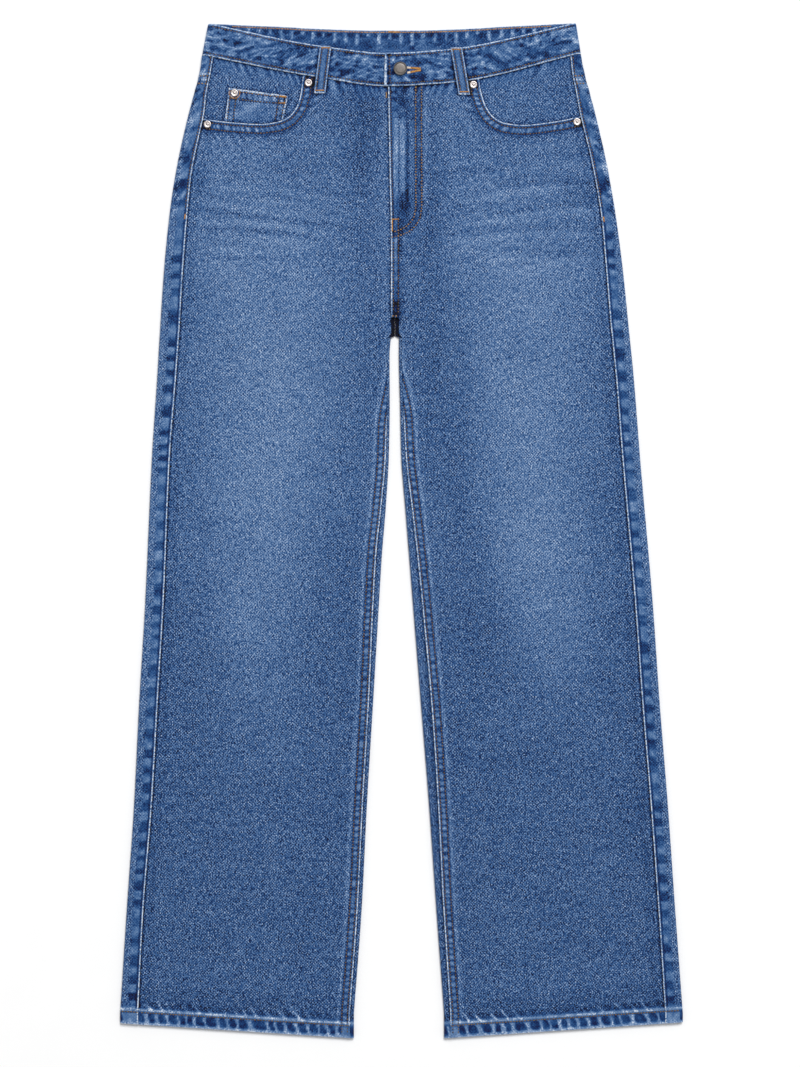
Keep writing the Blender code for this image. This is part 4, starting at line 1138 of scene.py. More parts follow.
def lower_look(side, column, x, down, from_seam, has_hem):
    """Relief, tone and calm of one line of a back or a yoke."""
    zone, share = column
    if zone in ("strip", "turn"):
        relief, tone = strip_look(side, from_seam, down)
        calm = 0.8 * span(from_seam, -9, 11, 4)
    else:
        relief, tone, calm = 0.0 * x, seat_tone(side, x, down), 0.0 * x
    if zone == "turn":
        under = ease(share * 1.6 - 0.6)
        tone, relief = mix(tone, seat_tone(side, x, down), under), relief * (1 - under)
    if zone in ("curl", "tip"):
        on_top = ease(share * 1.6 - 0.3) if zone == "curl" else 1.0
        leg = mix(tone, mix(0.40, 0.36, ease((down - 600) / 200)), on_top)
        if zone == "tip":
            # Painted shade where the back's strip meets the front's raised inseam edge.
            leg = leg - 0.20 * bell(share, 1.0, 0.35)
        tone = np.where(down < CROTCH, tone, leg)
    if has_hem:
        on_strip = 1.0 if zone == "strip" else 0.0
        height = side.hem(x) - down
        hem_relief, tone, hem_calm = hem_look(height, x, tone, side.seed + 20, on_strip)
        relief = relief + hem_relief * 0.5 * on_strip
        tone = worn_edge(tone, from_seam, 0.74, share=span(height, -1, 14, 1) * on_strip)
        calm = np.maximum(calm, hem_calm)
    if zone == "strip":
        # Painted shadow just under the waistband's lower edge.
        tone = tone - 0.15 * bell(down - front_bottom(x), 0.3, 2.0)
        felled = span(down, *YOKE_ROWS, 2.0) * (from_seam > 2.8)
        tone = mix(tone, 0.63 + 0.05 * rough(x, down, 3.0, 42), felled) + marks(down, YOKE_MARKS)[0]
    return relief, tone, calm


def make_lower(name, side, columns, row_downs, has_hem):
    """The shell of a back or a yoke, from the side seam round the fold and under the garment."""
    lines, from_seam, last = [], SEAM_GAP / 2, None
    for column in columns:
        down = row_downs(column)
        (x, z), (nx, nz) = lower_point(side, column, down)
        if last is not None:
            from_seam = from_seam + np.hypot(x - last[0], z - last[1])
        last = (x, z)
        relief, tone, calm = lower_look(side, column, x, down, from_seam, has_hem)
        from_centre = abs(x - CENTRE)
        # Painted shade near the crotch, where the back shows between the legs: its inner side darkens within
        # 18 mm of the middle, and the pit goes nearly black.
        deep = span(down, 296, CROTCH + 4, 8)
        pit = deep * span(from_centre, -99, 5.4, 1.2)
        inside = mix(INSIDE_TONE, 0.30, deep * span(from_centre, -99, 18, 4))
        lines.append(Cloth(x, down, z, nx, nz, relief, cloth_at(side, x, down), tone,
                           mix(inside, PIT_TONE, pit), np.maximum(calm, pit)))
    middle = row_downs(columns[len(columns) // 2])
    keep = np.flatnonzero((abs(middle - CROTCH) < 15) | (middle > 1055))
    return make_panel(name + "_" + side.name, "denim_back", side_by_side(lines), keep)


def yoke_seam(side, column):
    """Where the yoke's seam crosses one line of the lower layer."""
    down = YOKE_SIDE
    if column[0] not in ("strip", "turn"):
        for _ in range(6):
            down = yoke_down(side, lower_point(side, column, down)[0][0])
    return float(down)


def band_edge(side, column):
    """Where the waistband's lower edge crosses one line of the lower layer."""
    zone, share = column
    guess = 34.0
    if zone == "turn":
        start = side.fold(guess) - side.out * fold_height(guess) / 2
        return mix(float(front_bottom(start)), float(back_bottom(start)), share)
    for _ in range(4):
        x = lower_point(side, column, guess)[0][0]
        guess = float(front_bottom(x) if zone == "strip" else back_bottom(x))
    return guess


STRIP_FINE = (0.0, 0.05, 0.10, 0.15, 0.20, 0.26, 0.33, 0.41, 0.49, 0.57, 0.65, 0.73, 0.82, 0.91)


def make_yoke(side):
    def downs(column):
        return np.linspace(band_edge(side, column) + SEAM_GAP, yoke_seam(side, column) - SEAM_GAP / 2, 22)
    return make_lower("yoke", side, lower_columns(side, 4.5, STRIP_FINE), downs, False)


def make_back(side):
    legs = np.arange(LEG_ROWS["seat"], LEG_ROWS["hem"], LEG_ROWS["step"])
    above, below = legs[legs < CROTCH - 2.0], legs[legs > CROTCH + 2.0]
    legs = np.concatenate([above, [CROTCH - 1.2, CROTCH + 1.2], below])

    def downs(column):
        top = yoke_seam(side, column) + SEAM_GAP / 2
        edge = float(side.hem(lower_point(side, column, 1060.0)[0][0]))
        seat = np.linspace(top, LEG_ROWS["seat"], BACK_ROWS["seat_rows"])[:-1]
        return np.concatenate([seat, legs, np.linspace(LEG_ROWS["hem"], edge, BACK_ROWS["hem_rows"])])
    return make_lower("back", side, lower_columns(side, 5.5, STRIP_FINE), downs, True)


# ---------------------------------------------------------------- waistband
BAND_ENDS = ((FRONT_TOP[0].x, FRONT_BOTTOM[0].x), (FRONT_TOP[-1].x, FRONT_BOTTOM[-1].x))


def band_line(edge_top, edge_bottom, x_top, share):
    """A place on the band's face, from its top edge down."""
    (top_right, bottom_right), (top_left, bottom_left) = BAND_ENDS
    across = (x_top - top_right) / (top_left - top_right)
    x_bottom = mix(bottom_right, bottom_left, across)
    return mix(x_top, x_bottom, share), mix(edge_top(x_top), edge_bottom(x_bottom), share)


def lap_lift(x):
    """How far the band's upper end lies over its lower one."""
    return LAP_LIFT * ease((LAP_RAMP[1] - x) / (LAP_RAMP[1] - LAP_RAMP[0]))


def band_side(x):
    """The half of the garment that x lies on."""
    return RIGHT if x < CENTRE else LEFT


def band_point(column, share):
    """Points on the band's outer skin and the way out of it."""
    zone, x_top, turn = column
    flat = 0.0 * share
    if zone == "back":
        x, down = band_line(back_top, back_bottom, x_top, share)
        return (x, down, table_lift(band_side(x_top), x, down)), (flat, flat - 1.0)
    x, down = band_line(front_top, front_bottom, x_top, share)
    if zone in ("front", "lap"):
        return (x, down, BAND_HEIGHT + (lap_lift(x) if zone == "lap" else flat)), (flat, flat + 1.0)
    out = -1 if zone == "turn_right" else 1
    radius = BAND_HEIGHT / 2
    angle = np.pi * (0.5 - turn)
    nx, nz = out * np.cos(angle), np.sin(angle)
    level = mix(down, band_line(back_top, back_bottom, x_top, share)[1], turn)
    return (x + radius * nx, level, radius + radius * nz + flat), (nx + flat, nz + flat)


def waistband_columns():
    """Stations along the band, from its lower end round both side folds to its upper end."""
    fold_right, fold_left = FRONT_TOP[0].x, FRONT_TOP[-1].x
    radius = BAND_HEIGHT / 2
    columns = [("front", x, 0.0) for x in np.linspace(UNDERLAP_END, fold_right + radius, 172)]
    columns += [("turn_right", fold_right + radius, share) for share in TURN[1:]]
    columns += [("back", x, 0.0) for x in np.linspace(fold_right + radius, fold_left - radius, 200)]
    columns += [("turn_left", fold_left - radius, 1 - share) for share in TURN[1:]]
    columns += [("lap", x, 0.0) for x in np.linspace(fold_left - radius, LAP_END + 5, 150)]
    columns += [("lap", x, 0.0) for x in LAP_END + np.array([3.8, 2.8, 2.0, 1.2, 0.6, 0.0])]
    return columns


BAND_TOP_MARKS = (
    Mark(BAND_ROWS["top"], 1.0, -0.27),
    Mark(BAND_ROWS["top"], 0.8, 0.0, -0.2),
)
BAND_BOTTOM_MARKS = (
    Mark(BAND_ROWS["bottom"], 1.0, -0.27),
    Mark(BAND_ROWS["bottom"], 0.8, 0.0, -0.2),
    Mark(1.0, 0.9, 0.0, 0.2),
)
LAP_MARKS = (
    Mark(4.2, 1.3, -0.22),
    Mark(1.4, 1.4, 0.0, 0.25),
)


def band_marble(x, from_top, share):
    """The marbled wear of the band: soft clouds, light veins and dark blots."""
    lean = np.clip((x + 20.0) / 150.0, -1, 1)
    lie = from_top + 9.0 * rough(x, 0.0, 45.0, 80) - 0.22 * abs(lean) * x * np.sign(lean)
    cloud = 0.6 * streaks(x, lie, 16.0, 5.0, 0.0, 81) + 0.6 * streaks(x, lie, 7.0, 2.8, 0.15, 82)
    lines = vein(x * 0.55 - 1.1 * lie, lie * 1.4, 8.0, 83) + vein(x * 0.6 + 1.2 * lie, lie * 1.3, 9.5, 84)
    lumps = rough(x * 0.6, lie * 1.25, 7.0, 87) + 0.5 * rough(x, lie * 1.5, 3.6, 88)
    return cloud, lines, ease((lumps - 0.02) / 0.36) * bell(share, 0.47, 0.36)


def lap_look(x, down, from_top, tone, relief):
    """The band's upper end: its worn edge and folds, and the shade round the button."""
    end = x - LAP_END
    changed, raised = marks(end, LAP_MARKS)
    tone = worn_edge(tone, end, 0.76, 1.7, soft=0.9) + changed
    corner = bell(end, 10.0, 7.0) * bell(down, 61.0, 5.0) + bell(end, 11.0, 6.0) * bell(down, 41.0, 6.0)
    tone = tone + 0.12 * corner - 0.07 * span(x, 10, 36, 12) * span(from_top, 4, 30, 6)
    from_button = np.hypot(x - BUTTON["x"], down - BUTTON["down"])
    return tone - 0.16 * bell(from_button, BUTTON["radius"] + 1.2, 1.3), relief + raised


def band_look(zone, x, down, share, height):
    """Relief and tone of the waistband's outside: marbled by wear, with abraded edges."""
    from_top, from_bottom = share * height, (1 - share) * height
    cloud, lines, blots = band_marble(x, from_top, share)
    tone = 0.338 + 0.025 * ease((x - 50) / 40) + 0.07 * cloud + 0.23 * lines - 0.18 * blots
    squares = ease((np.cos(2 * np.pi * (x / 12.5 + 0.3 * rough(x, 0.0, 30.0, 85))) - 0.1) / 0.5)
    squares = squares * bell(from_bottom, 8.4, 3.2) * (0.75 + 0.5 * rough(x, 0.0, 21.0, 89))
    tone = tone - 0.17 * squares + 0.07 * bell(from_top, 5.5, 3.5) * ripple(x, 9.0, 86)
    tone = worn_edge(np.clip(tone, 0.16, 0.62), from_top, 0.74, share=0.95)
    tone = worn_edge(tone, from_bottom, 0.76, share=0.95)
    top_tone, top_relief = marks(from_top, BAND_TOP_MARKS)
    bottom_tone, bottom_relief = marks(from_bottom, BAND_BOTTOM_MARKS)
    tone = tone + top_tone + bottom_tone
    relief = 0.22 * cloud + 0.16 * lines + top_relief + bottom_relief
    if zone == "back":
        return 0.0 * relief, mix(tone, 0.385, 0.4)
    # Painted shade beside and under the front belt loops.
    tone = tone - 0.27 * painted_loop_shade(x, down)
    if zone == "lap":
        tone, relief = lap_look(x, down, from_top, tone, relief)
    return relief, tone


def band_inside(x, down, from_top):
    """Tone of the inside of the back of the band, which shows above the front."""
    phase = x / 11.7 + 0.15 * rough(x, 0.0, 40.0, 91)
    folds = np.clip((np.cos(2 * np.pi * phase) - 0.35) / 0.45, 0, 1)
    reach = 11.0 + 6.0 * rough(x, 0.0, 12.0, 92)
    tone = 0.310 + 0.09 * streaks(x, down, 12.0, 6.0, 0.3, 93) + 0.14 * vein(x + 1.5 * down, down, 12.0, 94)
    tone = tone + 0.26 * folds * span(from_top, 3.6, reach, 3.0)
    tone = tone - 0.12 * bell(from_top, 5.5, 2.4) * (1 - folds)
    return worn_edge(tone, from_top, 0.60, 0.9, soft=0.8)


def band_cloth_line(column, shares):
    """One line of the band, from its top edge down."""
    zone, _, turn = column
    (x, down, z), (nx, nz) = band_point(column, shares)
    height = down[-1] - down[0]
    named = {"turn_right": "front", "turn_left": "lap"}.get(zone, zone)
    relief, tone = band_look(named, x, down, shares, height)
    if zone.startswith("turn"):
        relief = relief * (1 - ease(turn * 1.5))
        tone = mix(tone, band_look("back", x, down, shares, height)[1], ease(turn * 1.6 - 0.6))
    roll = EDGE_ROLL * (bell(shares, 0.0, 0.02) + bell(shares, 1.0, 0.02))
    inside = band_inside(x, down, shares * height)
    return Cloth(x, down, z, nx, nz, relief - roll, BAND_CLOTH, tone, inside, 0.6)


BAND_EDGE_SHARES = (0.0, 0.018, 0.042, 0.07, 0.10)


def make_waistband():
    edge = np.array(BAND_EDGE_SHARES)
    shares = np.concatenate([edge, np.linspace(0.135, 0.865, 20), 1 - edge[::-1]])
    cloth = side_by_side([band_cloth_line(column, shares) for column in waistband_columns()])
    return make_panel("waistband", "denim_band", cloth,
                      range(len(shares)), 1)


# ---------------------------------------------------------------- belt loops and back pockets
LOOP_OFFSETS = np.array([-6.1, -5.8, -5.1, -4.2, -3.6, -3.0, -1.5, 0.0, 1.5, 3.0, 3.6, 4.2, 5.1, 5.8, 6.1])
LOOP_ROLL = (5.2, 0.9)


def loop_tone(offset, along):
    """Light worn edges, dark beside the stitch rows, a medium middle."""
    half = LOOP_SIZE[0] / 2
    tone = 0.44 + 0.05 * rough(offset * 2, along, 8.0, 101) + 0.04 * rough(offset * 4, along, 5.0, 102)
    tone = mix(tone, 0.66, span(abs(offset), half - 1.2, half - 0.2, 0.6))
    return tone - 0.26 * bell(abs(offset), half - 2.5, 0.8)


def loop_edge(offset):
    """0 over a belt loop's middle and 1 at its rolled edges."""
    return ease((abs(offset) - LOOP_ROLL[0]) / LOOP_ROLL[1])


def loop_rise(side, share, x, down):
    """Height of a front belt loop's lower face, which arches over the band and comes down on the front."""
    past_band = ease((down - front_bottom(x) - LOOP_CLEAR) / LOOP_STEP)
    carried = mix(BAND_HEIGHT + (lap_lift(x) if side.out > 0 else 0.0), upper_face(side, x, down), past_band)
    return carried + SEAM_GAP + LOOP_ARCH * ease(share / 0.3) * ease((1 - share) / 0.35)


def make_front_loop(side):
    (x0, down0), (x1, down1) = FRONT_LOOPS[side.name]
    _, length, thick = LOOP_SIZE
    shares = np.linspace(0.0, 1.0, 44)
    x, down = mix(x0, x1, shares), mix(down0, down1, shares)
    z = loop_rise(side, shares, x, down) + thick
    ends = 0.35 * (bell(shares, 0.0, 0.02) + bell(shares, 1.0, 0.02))
    worn = span(shares * length, -1, 1.2, 0.8) + span((1 - shares) * length, -1, 1.6, 0.8)
    lines = []
    for offset in LOOP_OFFSETS:
        sunk = 0.45 * loop_edge(offset) + 0.2 * bell(abs(offset), LOOP_ROW, 0.6) + ends
        tone = mix(loop_tone(offset, down), 0.66, worn)
        lines.append(Cloth(x + offset, down, z, push=-sunk, thick=thick, tone=tone, inside=0.4, calm=0.8))
    return make_panel("belt_loop_front_" + side.name, "denim_band", side_by_side(lines))


def make_back_loop(name, x):
    _, length, thick = LOOP_SIZE
    down = float(back_top(x)) + np.linspace(0.0, 1.0, 40) * length
    lines = []
    for offset in LOOP_OFFSETS:
        rim = 0.35 * loop_edge(offset)
        tone, wall = loop_tone(offset, down) - 0.03, thick - rim
        lines.append(Cloth(x + offset, down, rim, nz=-1.0, thick=wall, tone=tone, inside=tone, calm=0.8))
    return make_panel("belt_loop_back_" + name, "denim_band", side_by_side(lines))


def pocket_turn(side, along, below):
    """From a back pocket's own width and depth to (x, down)."""
    tilt = np.radians(BACK_POCKET["tilt"])
    x = along * np.cos(tilt) - below * np.sin(tilt)
    down = along * np.sin(tilt) + below * np.cos(tilt)
    middle = CENTRE + side.out * (BACK_POCKET["inner"] + BACK_POCKET["width"] / 2)
    return middle - side.out * x, BACK_POCKET["top"] + down


def pocket_line(side, share, falls):
    """One line of a back pocket, from its top edge down to its pointed foot."""
    spec = BACK_POCKET
    foot = mix(spec["side"], spec["point"], 1 - abs(2 * share - 1))
    below = falls * foot
    inset = np.minimum(spec["taper"] * below / spec["side"], spec["taper"])
    along = (2 * share - 1) * (spec["width"] / 2 - inset)
    x, down = pocket_turn(side, along, below)
    from_edge = np.minimum(min(share, 1 - share) * spec["width"], (1 - falls) * foot)
    tone = 0.425 + 0.04 * bell(along, 0, 45) * bell(below, 70, 50) + 0.012 * rough(x, down, 30.0, 111)
    tone = worn_edge(tone, from_edge, 0.60, 1.2, 0.8, 0.8)
    tone = tone + 0.04 * span(from_edge, 3.0, 8.5, 1.2) * ripple(x + down, 7.0, 112)
    tone = worn_edge(tone, below, 0.62, 1.4, 0.8, 0.8)
    tone = tone + 0.04 * span(below, 3.0, 16.0, 3.0) * ripple(along, 10.0, 113)
    return Cloth(x, down, 0.0, nz=-1.0, thick=PATCH_CLOTH, tone=tone, inside=tone, calm=0.3)


def make_back_pocket(side):
    falls = np.linspace(0.0, 1.0, 62)
    cloth = side_by_side([pocket_line(side, share, falls) for share in np.linspace(0.0, 1.0, 59)])
    return make_panel("back_pocket_" + side.name, "denim", cloth)


# ---------------------------------------------------------------- sewing
THREAD_WIDTH = 1.2
STITCH = dict(pitch=3.2, length=2.05)
HEM_STITCH = dict(pitch=3.0, length=2.5, width=1.4)
INSIDE_STITCH = dict(pitch=2.9, length=2.75, width=1.0)
TACK = dict(step=0.62, lean=0.45, width=0.62, lift=0.12)
UNDER = dict(up=-1.0)
# Where the legs' rows of stitches end above the hems.
HEM_LEVEL = 1050.0
sewn = {"thread_brown": [], "thread_tan": [], "thread_orange": [], "thread_pale": []}
chance = np.random.default_rng(7)


def lay_threads(thread, starts, ends, z_starts, z_ends, up=1.0, width=THREAD_WIDTH):
    """Adds one short thread for each pair of (x, down) points."""
    count = len(starts)
    size = np.full(count, width / 2) * (1 + 0.08 * chance.standard_normal(count))
    sewn[thread].append((np.asarray(starts), np.asarray(ends), np.broadcast_to(z_starts, count),
                         np.broadcast_to(z_ends, count), np.full(count, up), size))


def sew(thread, path, height, up=1.0, pitch=STITCH["pitch"], length=STITCH["length"], width=THREAD_WIDTH):
    """A row of stitches along a path, lying on the cloth whose outer face is height(x, down)."""
    path = np.asarray(path, dtype=float)
    chord = np.concatenate(([0.0], np.cumsum(np.hypot(*np.diff(path, axis=0).T))))
    starts = np.arange(0.3, chord[-1] - length, pitch)
    jog = 0.10 * chance.standard_normal((2, len(starts)))

    def place(at, side_step):
        x, down = np.interp(at, chord, path[:, 0]), np.interp(at, chord, path[:, 1])
        return np.stack([x + side_step, down + 0.4 * side_step], axis=1)
    first, last = place(starts, jog[0]), place(starts + length, jog[1])
    lay_threads(thread, first, last, height(*first.T), height(*last.T), up, width)


def tack(thread, start, end, width, height, up=1.0):
    """A bar tack: close zigzag stitches across a short line."""
    start, end = np.asarray(start, float), np.asarray(end, float)
    length = np.hypot(*(end - start))
    ahead = (end - start) / length
    across = np.array([-ahead[1], ahead[0]]) * width / 2
    steps = np.arange(0.0, length, TACK["step"])[:, None]
    first = start + ahead * steps - across
    last = start + ahead * (steps + TACK["lean"]) + across
    lift = TACK["lift"] * up
    lay_threads(thread, first, last, height(*first.T) + lift, height(*last.T) + lift, up, TACK["width"])


# The rings of a thread: how far along it, how full, and how high its middle lies.
RINGS = ((0.0, 0.0, -0.12), (0.18, 1.0, 0.18), (0.82, 1.0, 0.18), (1.0, 0.0, -0.12))
AROUND = ((1.0, 0.0), (0.0, 0.8), (-1.0, 0.0), (0.0, -0.8))


def make_threads(name):
    """One mesh of all the threads of a colour, each with four sides and two pointed ends."""
    rows = [np.concatenate([row[k] for row in sewn[name]]) for k in range(6)]
    starts, ends, z_starts, z_ends, up, size = rows
    ahead = ends - starts
    across = np.stack([-ahead[:, 1], ahead[:, 0]], axis=1) / np.hypot(*ahead.T)[:, None]
    points = []
    for share, full, lift in RINGS:
        middle = mix(starts, ends, share)
        z = mix(z_starts, z_ends, share) + up * lift
        for wide, tall in AROUND if full else ((0.0, 0.0),):
            place = middle + across * (wide * size)[:, None]
            points.append(np.column_stack([place, z + tall * size]))
    points = np.stack(points, axis=1)
    first = np.arange(len(starts))[:, None] * points.shape[1]
    faces = []
    for k in range(4):
        a, b = 1 + k, 1 + (k + 1) % 4
        for corners in ([0, a, b], [a, a + 4, b + 4, b], [9, b + 4, a + 4]):
            faces += (first + corners).tolist()
    piece = add_mesh(name, to_world(points.reshape(-1, 3)), faces, THREADS[name])
    return piece


def front_height(side):
    """Height of a front panel's outer face, with its relief."""
    def height(x, down):
        base = upper_face(side, x, down) + (fly_lift(x, down) if side.out > 0 else 0.0)
        return base + front_look(side, x, down)[0]
    return height


def strip_height(side):
    """Height of the outer face of the strip beside the side seam, with its relief."""
    def height(x, down):
        from_seam = side.out * (x - front_outer_x(side, down))
        return upper_face(side, x, down) + strip_look(side, from_seam, down)[0]
    return height


def under_height(x, down):
    """The outer face that lies on the table, where the threads are pressed into the cloth."""
    left = np.asarray(x) > CENTRE
    return np.where(left, table_lift(LEFT, x, down), table_lift(RIGHT, x, down)) + UNDER_SINK


def flat_table(x, down):
    return 0.0 * np.asarray(x) + UNDER_SINK


def inside_band_height(x, down):
    return under_height(x, down) - UNDER_SINK + BAND_CLOTH


def band_height(zone):
    def height(x, down):
        return BAND_HEIGHT + (lap_lift(x) if zone == "lap" else 0.0 * np.asarray(x))
    return height


def line(x, down):
    """Points of a path, from its x and its down."""
    return np.stack(np.broadcast_arrays(x, down), axis=1)


def band_path(x_from, x_to, edge, shift):
    """A line along one of the band's edges."""
    x = np.linspace(x_from, x_to, 200)
    return line(x, edge(x) + shift)


def upright(x_of_down, down_from, down_to):
    """A line down the garment, at x_of_down(down)."""
    down = np.arange(down_from, down_to, 2.0)
    return line(x_of_down(down), down)


# Where the band's upper and lower rows start and end on each half of the front.
BandRow = namedtuple("BandRow", "zone top_from top_to foot_from foot_to")
BAND_SEWING = (
    BandRow("front", LAP_END - 1.0, -203.0, LAP_END - 1.0, -209.5),
    BandRow("lap", LAP_END + 4.8, 183.0, LAP_END + 5.4, 188.2),
)


def sew_waistband():
    for row in BAND_SEWING:
        height = band_height(row.zone)
        sew("thread_brown", band_path(row.top_from, row.top_to, front_top, BAND_ROWS["top"]), height)
        sew("thread_brown", band_path(row.foot_from, row.foot_to, front_bottom, -BAND_ROWS["bottom"]), height)
    sew("thread_brown", resample([(LAP_END + 4.6, 35.0), (LAP_END + 5.6, 64.2)]), band_height("lap"))
    sew("thread_orange", band_path(-180.0, 160.0, back_top, 1.9), inside_band_height, **INSIDE_STITCH)
    tack("thread_orange", (-14.3, 9.4), (-1.6, 9.6), 2.0, inside_band_height)
    for edge, shift in ((back_top, BAND_ROWS["top"]), (back_bottom, -BAND_ROWS["bottom"])):
        sew("thread_brown", band_path(-201.0, 181.0, edge, shift), under_height, **UNDER)


# The tack that ends each side seam's row: where it starts down the seam, how long and how wide it is.
SEAM_TACK = dict(right=202.4, left=205.6, length=5.2, lean=0.6, width=1.8, offset=2.4)


def sew_side(side):
    front, strip = front_height(side), strip_height(side)
    for offset in MOUTH_ROWS:
        path = shifted(side.mouth_path, offset * side.out)
        off_seam = side.out * (front_outer_x(side, path[:, 1]) - path[:, 0]) > 3.0
        off_band = path[:, 1] > front_bottom(path[:, 0]) + 1
        sew("thread_brown", path[off_seam & off_band], front)
    path = upright(lambda down: front_outer_x(side, down) + side.out * SIDE_ROW, 36.0, 200.0)
    sew("thread_brown", path, strip)
    starts = SEAM_TACK[side.name]
    x = float(front_outer_x(side, starts) + side.out * SEAM_TACK["offset"])
    ends = (x + side.out * SEAM_TACK["lean"], starts + SEAM_TACK["length"])
    tack("thread_orange", (x, starts), ends, SEAM_TACK["width"], strip)
    for offset in INSEAM_ROWS:
        down = np.arange(CROTCH + 8.0, 1073.0, 2.0)
        from_edge = offset - inseam_hidden(side, down)
        row = line(front_inner_x(side, down) + side.out * from_edge, down)
        sew("thread_brown", row[from_edge > 0.8], front)
    for down in YOKE_ROWS:
        x = front_outer_x(side, down) + side.out * np.linspace(2.2, side.strip(down) - 1.0, 20)
        sew("thread_tan", line(x, down), strip)
    seam, fold = front_outer_x(side, HEM_LEVEL), side.fold(HEM_LEVEL)
    for x_from, x_to, count, height, stitch in (
        (front_inner_x(side, 1055.0), seam, 200, front, HEM_STITCH),
        (seam, fold - side.out * 1.5, 20, strip, HEM_STITCH),
        (side.inner(1060.0) + side.out, fold - side.out * 3.0, 200, under_height, UNDER),
    ):
        x = np.linspace(x_from, x_to, count)
        sew("thread_brown", line(x, side.hem(x) - HEM_ROW), height, **stitch)
    sew_yoke(side)
    sew_back_pocket(side)


def sew_yoke(side):
    """Two rows along the yoke's felled seam."""
    x = np.linspace(side.fold(YOKE_SIDE) - side.out * 4.0, CENTRE + side.out * 2.0, 200)
    for offset in FELLED_ROWS:
        sew("thread_brown", line(x, yoke_down(side, x) - offset), under_height, **UNDER)


def sew_back_pocket(side):
    """Two rows round the pocket, two along its turned top, and a tack at each upper corner."""
    half, foot, point = BACK_POCKET["width"] / 2, BACK_POCKET["side"], BACK_POCKET["point"]
    for inset in POCKET_ROWS:
        edge = half - inset
        corner = edge - BACK_POCKET["taper"]
        corners = ((-edge, 2.0), (-corner, foot - inset), (0.0, point - inset * 1.05), (corner, foot - inset),
                   (edge, 2.0))
        path = resample([pocket_turn(side, along, below) for along, below in corners], 1.0, False)
        sew("thread_brown", path, flat_table, **UNDER)
    for below in POCKET_HEM_ROWS:
        ends = [pocket_turn(side, along, below) for along in (10.0 - half, half - 10.0)]
        sew("thread_brown", resample(ends), flat_table, **UNDER)
    for along in (3.5 - half, half - 3.5):
        top, low = pocket_turn(side, along, 2.0), pocket_turn(side, along * 0.995, 11.0)
        tack("thread_orange", top, low, 2.0, flat_table, **UNDER)


# Rows beside the fly's edge: how far from it, over which stretch, and the length of a stitch.
FlyRow = namedtuple("FlyRow", "offset down_from down_to pitch length")
FLY_SEWING = (
    FlyRow(FLY_ROWS[0], 70.0, 205.0, 2.7, 1.3),
    FlyRow(FLY_ROWS[0], 232.0, 308.0, STITCH["pitch"], 1.8),
    FlyRow(FLY_ROWS[1], 209.0, 310.0, STITCH["pitch"], STITCH["length"]),
)


def sew_fly():
    height = front_height(LEFT)
    sew("thread_tan", J_OUTER, height)
    sew("thread_tan", J_INNER, height)
    for row in FLY_SEWING:
        path = upright(lambda down: fly_edge(down) + row.offset, row.down_from, row.down_to)
        sew("thread_brown", path, height, pitch=row.pitch, length=row.length)
    tack("thread_orange", (-10.7, 208.2), (-2.7, 208.2), 1.5, height)
    tack("thread_orange", (-9.8, 209.3), (-9.8, 221.0), 1.5, height)
    sew("thread_tan", resample([(-10.4, 310.6), (-3.0, 310.6)]), height)
    tack("thread_tan", (-16.2, 73.5), (-16.2, 79.5), 1.7, front_height(RIGHT))
    down = np.arange(YOKE_CENTRE + 2.0, CROTCH - 6.0, 2.0)
    for shift in (-SEAT_ROW, SEAT_ROW):
        sew("thread_brown", line(CENTRE + shift, down), under_height, **UNDER)


def sew_front_loop(side):
    (x0, down0), (x1, down1) = FRONT_LOOPS[side.name]

    def height(x, down):
        share = (down - down0) / (down1 - down0)
        return loop_rise(side, share, mix(x0, x1, share), down) + LOOP_SIZE[2] - 0.12
    for offset in (-LOOP_ROW, LOOP_ROW):
        path = resample([(x0 + offset, down0 + 2.5), (x1 + offset, down1 - 3.0)])
        sew("thread_brown", path, height, pitch=2.9, length=2.3)
    for x, down in ((x0, down0 + 2.0), (x1, down1 - 3.0)):
        tack("thread_orange", (x - 4.8, down), (x + 4.8, down), 1.6, height)


def sew_back_loop(x):
    top = float(back_top(x))
    for offset in (-LOOP_ROW, LOOP_ROW):
        path = resample([(x + offset, top + 2.5), (x + offset, top + 47.5)])
        sew("thread_brown", path, flat_table, **UNDER)
    for down in (top + 2.2, top + 47.4):
        tack("thread_orange", (x - 5.0, down), (x + 5.0, down), 2.2, flat_table, **UNDER)


# The pocket's tacks, in shares of its width and depth, and the ring of stitches round its rivet.
COIN_TACKS = ((0.86, 0.05, 1.9), (0.88, 0.30, 1.6))
COIN_TACK_END = 0.985
COIN_RING = dict(radius=5.6, start=150, end=400)


def sew_coin_pocket():
    def height(x, down):
        return facing_face(RIGHT, x, down) + SEAM_GAP + PATCH_CLOTH

    def row(thread, share_from, fall_from, share_to, fall_to):
        shares, falls = np.linspace(share_from, share_to, 40), np.linspace(fall_from, fall_to, 40)
        sew(thread, line(*coin_point(shares, falls)), height)
    width, tall = COIN_SIZE
    for thread, place in (("thread_tan", "top"), ("thread_brown", "lower")):
        drop = COIN_ROWS[place] / tall
        row(thread, 0.03, drop, 0.97, drop)
    for inset in COIN_ROWS["sides"]:
        for share in (inset / width, 1 - inset / width):
            row("thread_brown", share, 0.06, share, 0.97)
    for share, fall, thick in COIN_TACKS:
        tack("thread_orange", coin_point(share, fall), coin_point(COIN_TACK_END, fall), thick, height)
    around = np.radians(np.linspace(COIN_RING["start"], COIN_RING["end"], 60))
    ring = line(COIN_RIVET.x + COIN_RING["radius"] * np.cos(around),
                COIN_RIVET.down - COIN_RING["radius"] * np.sin(around))
    sew("thread_orange", ring, height, pitch=1.6, length=1.5)


# The buttonhole: its two lips run from beside the button to a tack, and close towards it.
BUTTONHOLE = dict(x_from=6.2, x_to=20.0, down_from=50.8, down_to=49.9, half_from=2.8, half_to=0.9, lip=1.25,
                  step=0.55, width=0.7, pale=0.22)


